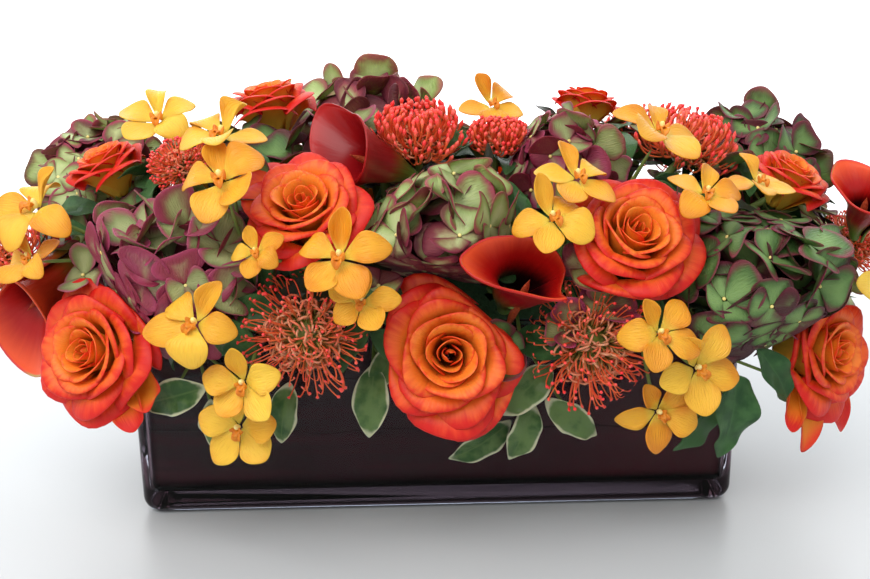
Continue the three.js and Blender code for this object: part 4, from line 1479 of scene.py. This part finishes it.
def make_object(name, mesh, finishes, thickness=0.0, refine=1, back=0):
    """Turns a mesh in millimetres into an object in metres."""
    data = bpy.data.meshes.new(name)
    bmesh.ops.scale(mesh, vec=(MM, MM, MM), verts=mesh.verts)
    mesh.to_mesh(data)
    mesh.free()
    for finish in finishes:
        data.materials.append(PAINT[finish])
    data.shade_smooth()
    made = bpy.data.objects.new(name, data)
    bpy.context.collection.objects.link(made)
    if thickness:
        wall = made.modifiers.new("thickness", "SOLIDIFY")
        wall.thickness = thickness * MM
        wall.offset = 0
        wall.material_offset = back
    if refine:
        finer = made.modifiers.new("finer", "SUBSURF")
        finer.levels = refine
        finer.render_levels = refine
    return made


def finish_piece(piece):
    node, kind, model = piece["node"], piece["kind"], piece["model"]
    head = piece["units"][0]
    points = stem_points(node, head.heart, STEM_RADIUS[kind])
    add_stem(model, points, STEM_RADIUS[kind])
    fork = points[0].lerp(points[1], 0.5)
    for unit in piece["units"][1:]:
        add_stem(model, [Vector(unit.heart), fork], STEM_RADIUS[kind] * SIDE_STEM)
    sheets, tubes = model.meshes["sheets"], model.meshes["tubes"]
    names = {"sheets": f"{node}_petals", "tubes": f"{node}_stem"}
    if kind == "pincushion":
        names = {"tubes": f"{node}_head"}
        sheets.free()
    for part, name in names.items():
        leafy = part == "sheets"
        made = make_object(
            name,
            model.meshes[part],
            model.finishes,
            THICKNESS[kind] if leafy else 0,
            0 if kind == "pincushion" else 1,
            1 if leafy and kind in ("rose", "calla") else 0,
        )
        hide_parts(node)
        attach(made, BODY)


for piece in pieces:
    finish_piece(piece)
print("pieces dressed:", len(pieces))

# %% [markdown]
# ## The glass vase
#
# The vase is a moulded oblong of thick clear glass: its upright corners and the edge that it stands on
# are well rounded, its floor is twice as thick as its walls, and its rim is only softened. A cube gets
# its rounded edges from two bevels. Its top face is then inset by the wall, and drawn down to make the
# hollow.

# %% Make the glass vase
VASE = {"length": 305, "depth": 102, "height": 102, "wall": 5, "floor": 11, "corner": 10, "foot": 8}
RIM_SOFTENING = 1.2
HOLLOW_SOFTENING = 3


def round_edges(mesh, edges, size, segments):
    bmesh.ops.bevel(
        mesh, geom=edges, offset=size, segments=segments, profile=0.5, affect="EDGES", material=-1
    )


def block(length, depth, low, high, corner):
    """An oblong with rounded upright corners, from the height low to the height high."""
    mesh = bmesh.new()
    bmesh.ops.create_cube(mesh, size=1)
    bmesh.ops.scale(mesh, vec=(length, depth, high - low), verts=mesh.verts)
    bmesh.ops.translate(mesh, vec=(0, 0, (low + high) / 2), verts=mesh.verts)
    upright = [edge for edge in mesh.edges if abs(edge.verts[0].co.z - edge.verts[1].co.z) > 1]
    round_edges(mesh, upright, corner, 8)
    return mesh


def edges_at(mesh, height):
    return [edge for edge in mesh.edges if all(abs(end.co.z - height) < 0.01 for end in edge.verts)]


def glass_vase():
    mesh = block(VASE["length"], VASE["depth"], 0, VASE["height"], VASE["corner"])
    round_edges(mesh, edges_at(mesh, 0), VASE["foot"], 6)
    top = max(mesh.faces, key=lambda face: face.calc_center_median().z)
    bmesh.ops.inset_region(mesh, faces=[top], thickness=VASE["wall"])
    drawn = bmesh.ops.extrude_discrete_faces(mesh, faces=[top])["faces"][0]
    bmesh.ops.translate(mesh, vec=(0, 0, VASE["floor"] - VASE["height"]), verts=drawn.verts)
    round_edges(mesh, edges_at(mesh, VASE["floor"]), HOLLOW_SOFTENING, 4)
    round_edges(mesh, edges_at(mesh, VASE["height"]), RIM_SOFTENING, 3)
    bmesh.ops.recalc_face_normals(mesh, faces=mesh.faces)
    made = make_object("glass_vase", mesh, ["glass"], refine=0)
    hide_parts("vase")
    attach(made, BODY)


glass_vase()
print("vase:", VASE["length"], "x", VASE["depth"], "x", VASE["height"], "mm")

# %% [markdown]
# ## The leaf lining
#
# Florists hide the foam behind broad leaves, wound round the inside of the glass. Here they are three
# bands of dark leaf that overlap like shingles, with waved upper edges, so thin lines run round the vase
# where one band ends on the next. Each band is one sheet that is led round the hollow, and its ends are
# merged.

# %% Make the lining
LINING_BANDS = ((11.4, 45, 0.35), (36, 74, 0.85), (64, 99, 1.35))
LINING_GAP = 0.1
LINING_THICKNESS = 0.4
LINING_WAVE = 1.6
LINING_STEPS = 240


def round_trip(share, half_x, half_y, corner):
    """The point at a share of the way round a rounded oblong, from the front end of its right side."""
    inner_x, inner_y = half_x - corner, half_y - corner
    arc = corner * math.pi / 2
    far = share * 4 * (inner_x + inner_y + arc)
    for out_x, out_y in ((1, 0), (0, 1), (-1, 0), (0, -1)):
        half = abs(out_y) * inner_x + abs(out_x) * inner_y
        if far <= 2 * half:
            along = far - half
            return Vector((out_x * half_x - out_y * along, out_y * half_y + out_x * along, 0))
        far -= 2 * half
        if far <= arc:
            middle = Vector(((out_x - out_y) * inner_x, (out_y + out_x) * inner_y, 0))
            return middle + polar(corner, math.atan2(out_y, out_x) + far / corner, 0)
        far -= arc
    return Vector((half_x, -inner_y, 0))


def lining():
    rng = random.Random(7)
    mesh = bmesh.new()
    mesh.loops.layers.uv.new("petal")
    for low, high, depth in LINING_BANDS:
        inset = VASE["wall"] + LINING_GAP + depth
        half_x, half_y = VASE["length"] / 2 - inset, VASE["depth"] / 2 - inset
        phase = rng.uniform(0, 6)
        grid = bmesh.ops.create_grid(mesh, x_segments=LINING_STEPS, y_segments=4, size=1, calc_uvs=True)
        for corner in grid["verts"]:
            share, along = (corner.co.x + 1) / 2, (corner.co.y + 1) / 2
            place = round_trip(share, half_x, half_y, VASE["corner"] - VASE["wall"])
            wave = math.sin(6 * math.tau * share + phase) + 0.6 * math.sin(14 * math.tau * share + 2 * phase)
            place.z = low + (high - low) * along + LINING_WAVE * wave * along
            corner.co = place
        bmesh.ops.remove_doubles(mesh, verts=grid["verts"], dist=0.001)
    made = make_object("leaf_lining_bands", mesh, ["lining leaf"], LINING_THICKNESS, 1)
    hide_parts("leaf_lining")
    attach(made, BODY)


lining()
for foam_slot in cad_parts["floral_foam"].material_slots:
    foam_slot.material = PAINT["foam"]
print("bands of lining leaf:", len(LINING_BANDS))

# %% [markdown]
# ## Filling the gaps
#
# Between the blooms one should see leaves and loose florets, never the foam. A few gaps that show in the
# picture are listed one by one. For the rest we look between the hearts of each two neighbours, and keep a
# place that no bloom has taken, that lies over no bloom's face and that isn't too near a kept one.

# %% Find the gaps
SEEN_GAPS = ((-122, -40, 167), (-138, -30, 166), (-168, -58, 132), (-175, -36, 126), (60, -56, 140))
NEAR_HEARTS, FAR_HEARTS = 34, 110
GAP_SHARES = (0.35, 0.5, 0.65)
FILL_SPACING = 12
FILL_FREE = 0.38
FILL_LOWEST = 97
HOLDER_ROOM = 6
FACE_HEIGHT = 0.1
FACE_SHARE = 0.78
BIG = [unit for unit in units if unit.kind in ("rose", "pincushion", "hydrangea", "calla")]


def gap_places():
    """Places between the hearts of neighbouring blooms."""
    for first, second in itertools.combinations(BIG, 2):
        if NEAR_HEARTS < np.linalg.norm(first.heart - second.heart) < FAR_HEARTS:
            for share in GAP_SHARES:
                yield Vector(first.heart * share + second.heart * (1 - share))


def is_over(unit, place):
    """Whether a place lies over the face of a bloom, where a leaf would hide it."""
    arm = np.array(place) - unit.heart
    height = arm @ unit.way
    aside = np.linalg.norm(arm - height * unit.way)
    return height > FACE_HEIGHT * unit.extent and aside < FACE_SHARE * unit.extent


def is_in_holder(place):
    room = (vase_high.x + HOLDER_ROOM, vase_high.y + HOLDER_ROOM, foam_high.z + HOLDER_ROOM)
    return abs(place.x) < room[0] and abs(place.y) < room[1] and place.z < room[2]


def is_free(place, kept):
    if place.z < FILL_LOWEST or any((place - other).length < FILL_SPACING for other in kept):
        return False
    if is_in_holder(place) or any(is_over(unit, place) for unit in BIG):
        return False
    return all(np.linalg.norm(unit.heart - np.array(place)) > FILL_FREE * unit.extent for unit in units)


gaps = [Vector(place) for place in SEEN_GAPS]
for place in gap_places():
    if is_free(place, gaps):
        gaps.append(place)
print("gaps to fill:", len(gaps))

# %% [markdown]
# Each gap gets a floret or a leaf that faces outward. The blooms stay as they are and only the filler gives
# way, so it sinks in behind them. Leaves, florets and the florets' beads are gathered into one piece each.

# %% Fill the gaps
FILL_SOFTNESS = 6.0
FILL_GRID = (4, 6)
FILL_SMALLEST, FILL_LARGEST = 26, 38
FILL_THICKNESS = 0.5
FILL_FLORETS = ("mauve hydrangea", "dark hydrangea", "green hydrangea")
FLORET_SHARE, DARK_SHARE = 0.3, 0.8
LEAF_SCATTER = 0.4
FLAT_SHARE = 0.28


def outward(place):
    return Vector((FLAT_SHARE * place.x, place.y, place.z - HEART_HEIGHT)).normalized()


def fill_gap(place, leaves, florets, rng):
    pick = rng.random()
    row = (*place, rng.uniform(FILL_SMALLEST, FILL_LARGEST), rng.uniform(0, 360))
    if pick < FLORET_SHARE:
        model = florets
        finish = rng.choice(FILL_FLORETS)
    else:
        model = leaves
        finish = "dark leaf" if pick < DARK_SHARE else "plum leaf"
        scatter = Vector([rng.gauss(0, LEAF_SCATTER) for _ in range(3)])
        row = (*row, tuple(outward(place) + scatter))

    def build(width):
        if model is florets:
            floret(florets, Vector(), UP, width / 2, finish, rng.random(), rng)
        else:
            leaf(leaves, width, rng, finish, FILL_GRID)

    unit = Unit("filler", model, build, "leaf", row, FILL_SOFTNESS)
    for other in [*units, *holders]:
        part_pair(other, unit, pressing_first=False)
    press_in(unit)


def fill_gaps():
    rng = random.Random(11)
    leaves, florets = Model(), Model()
    for place in gaps:
        fill_gap(place, leaves, florets, rng)
    leaves.meshes["tubes"].free()
    for model, part, name, thickness, slot in (
        (leaves, "sheets", "filler_leaves", FILL_THICKNESS, "variegated_leaf"),
        (florets, "sheets", "filler_florets", FILL_THICKNESS, "hydrangea_sepal"),
        (florets, "tubes", "filler_beads", 0, "hydrangea_sepal"),
    ):
        made = make_object(name, model.meshes[part], model.finishes, thickness)
        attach(made, BODY)
        print(name, "faces:", len(made.data.polygons))


fill_gaps()

# %% [markdown]
# ## Stage and light
#
# The table is pale, and the window behind bleaches it to white further back. So its paint glows more and
# more towards the back, where the picture holds no shade at all.

# %% Lay the table
FLOOR_DROP = -0.0004
FLOOR_SIZE = 3
WINDOW_STARTS = 0.15
WINDOW_FULL = 0.9


def table_paint():
    paint = Paint("pale table", roughness=0.35, base_color=colour("#c9cdd0"))
    back = paint.part_of(paint.space(), 1)
    glow = paint.blend(paint.ease(back, WINDOW_STARTS, WINDOW_FULL), (0, 0, 0, 1), (1, 1, 1, 1))
    paint.set(emission_color=glow, emission_strength=1.0)
    return paint.material


def add_floor():
    mesh = bmesh.new()
    bmesh.ops.create_grid(mesh, x_segments=2, y_segments=2, size=FLOOR_SIZE)
    bmesh.ops.translate(mesh, vec=(0, 0, FLOOR_DROP), verts=mesh.verts)
    data = bpy.data.meshes.new("floor")
    mesh.to_mesh(data)
    mesh.free()
    data.materials.append(table_paint())
    floor = bpy.data.objects.new("floor", data)
    bpy.context.collection.objects.link(floor)


add_floor()
print("table:", 2 * FLOOR_SIZE, "m square")

# %% [markdown]
# The light comes from that window, so petals glow at their rims, while the fronts are lit softly by the
# room. The world does the same from all round: a white side behind and a grey one in front.

# %% Light the scene
ROOM_SHADE = (0.6, 0.6, 0.6, 1.0)
WINDOW_LIGHT = (0.98, 0.99, 1.0, 1.0)
SHADE_ENDS, WINDOW_BEGINS = -0.9, 0.5
AIM = Vector((0, 0, 0.12))
LIGHTS = {
    "window": {"place": (0.1, 1.7, 1.2), "size": (2.6, 1.6), "power": 24, "tint": (0.95, 0.98, 1.0)},
    "room": {"place": (-0.6, -1.0, 1.5), "size": (1.8, 1.4), "power": 27, "tint": (1.0, 0.98, 0.95)},
}


def add_light(name, place, size, power, tint):
    data = bpy.data.lights.new(name, "AREA")
    data.shape = "RECTANGLE"
    data.size, data.size_y = size
    data.energy = power
    data.color = tint
    light = bpy.data.objects.new(name, data)
    light.location = place
    light.rotation_euler = (AIM - Vector(place)).to_track_quat("-Z", "Y").to_euler()
    bpy.context.collection.objects.link(light)


def add_world():
    world = bpy.data.worlds.new("room")
    world.use_nodes = True
    tree = world.node_tree
    background = tree.nodes["Background"]
    background.inputs["Strength"].default_value = 1.0
    direction = tree.nodes.new("ShaderNodeTexCoord").outputs["Generated"]
    parts = tree.nodes.new("ShaderNodeSeparateXYZ")
    ramp = tree.nodes.new("ShaderNodeMapRange")
    mixed = tree.nodes.new("ShaderNodeMix")
    mixed.data_type = "RGBA"
    ramp.inputs["From Min"].default_value = SHADE_ENDS
    ramp.inputs["From Max"].default_value = WINDOW_BEGINS
    mixed.inputs[6].default_value = ROOM_SHADE
    mixed.inputs[7].default_value = WINDOW_LIGHT
    tree.links.new(direction, parts.inputs[0])
    tree.links.new(parts.outputs["Y"], ramp.inputs["Value"])
    tree.links.new(ramp.outputs[0], mixed.inputs[0])
    tree.links.new(mixed.outputs[2], background.inputs["Color"])
    bpy.context.scene.world = world


add_world()
for name, settings in LIGHTS.items():
    add_light(name, **settings)
bpy.context.scene.view_settings.view_transform = "Standard"
print("lights:", list(LIGHTS))
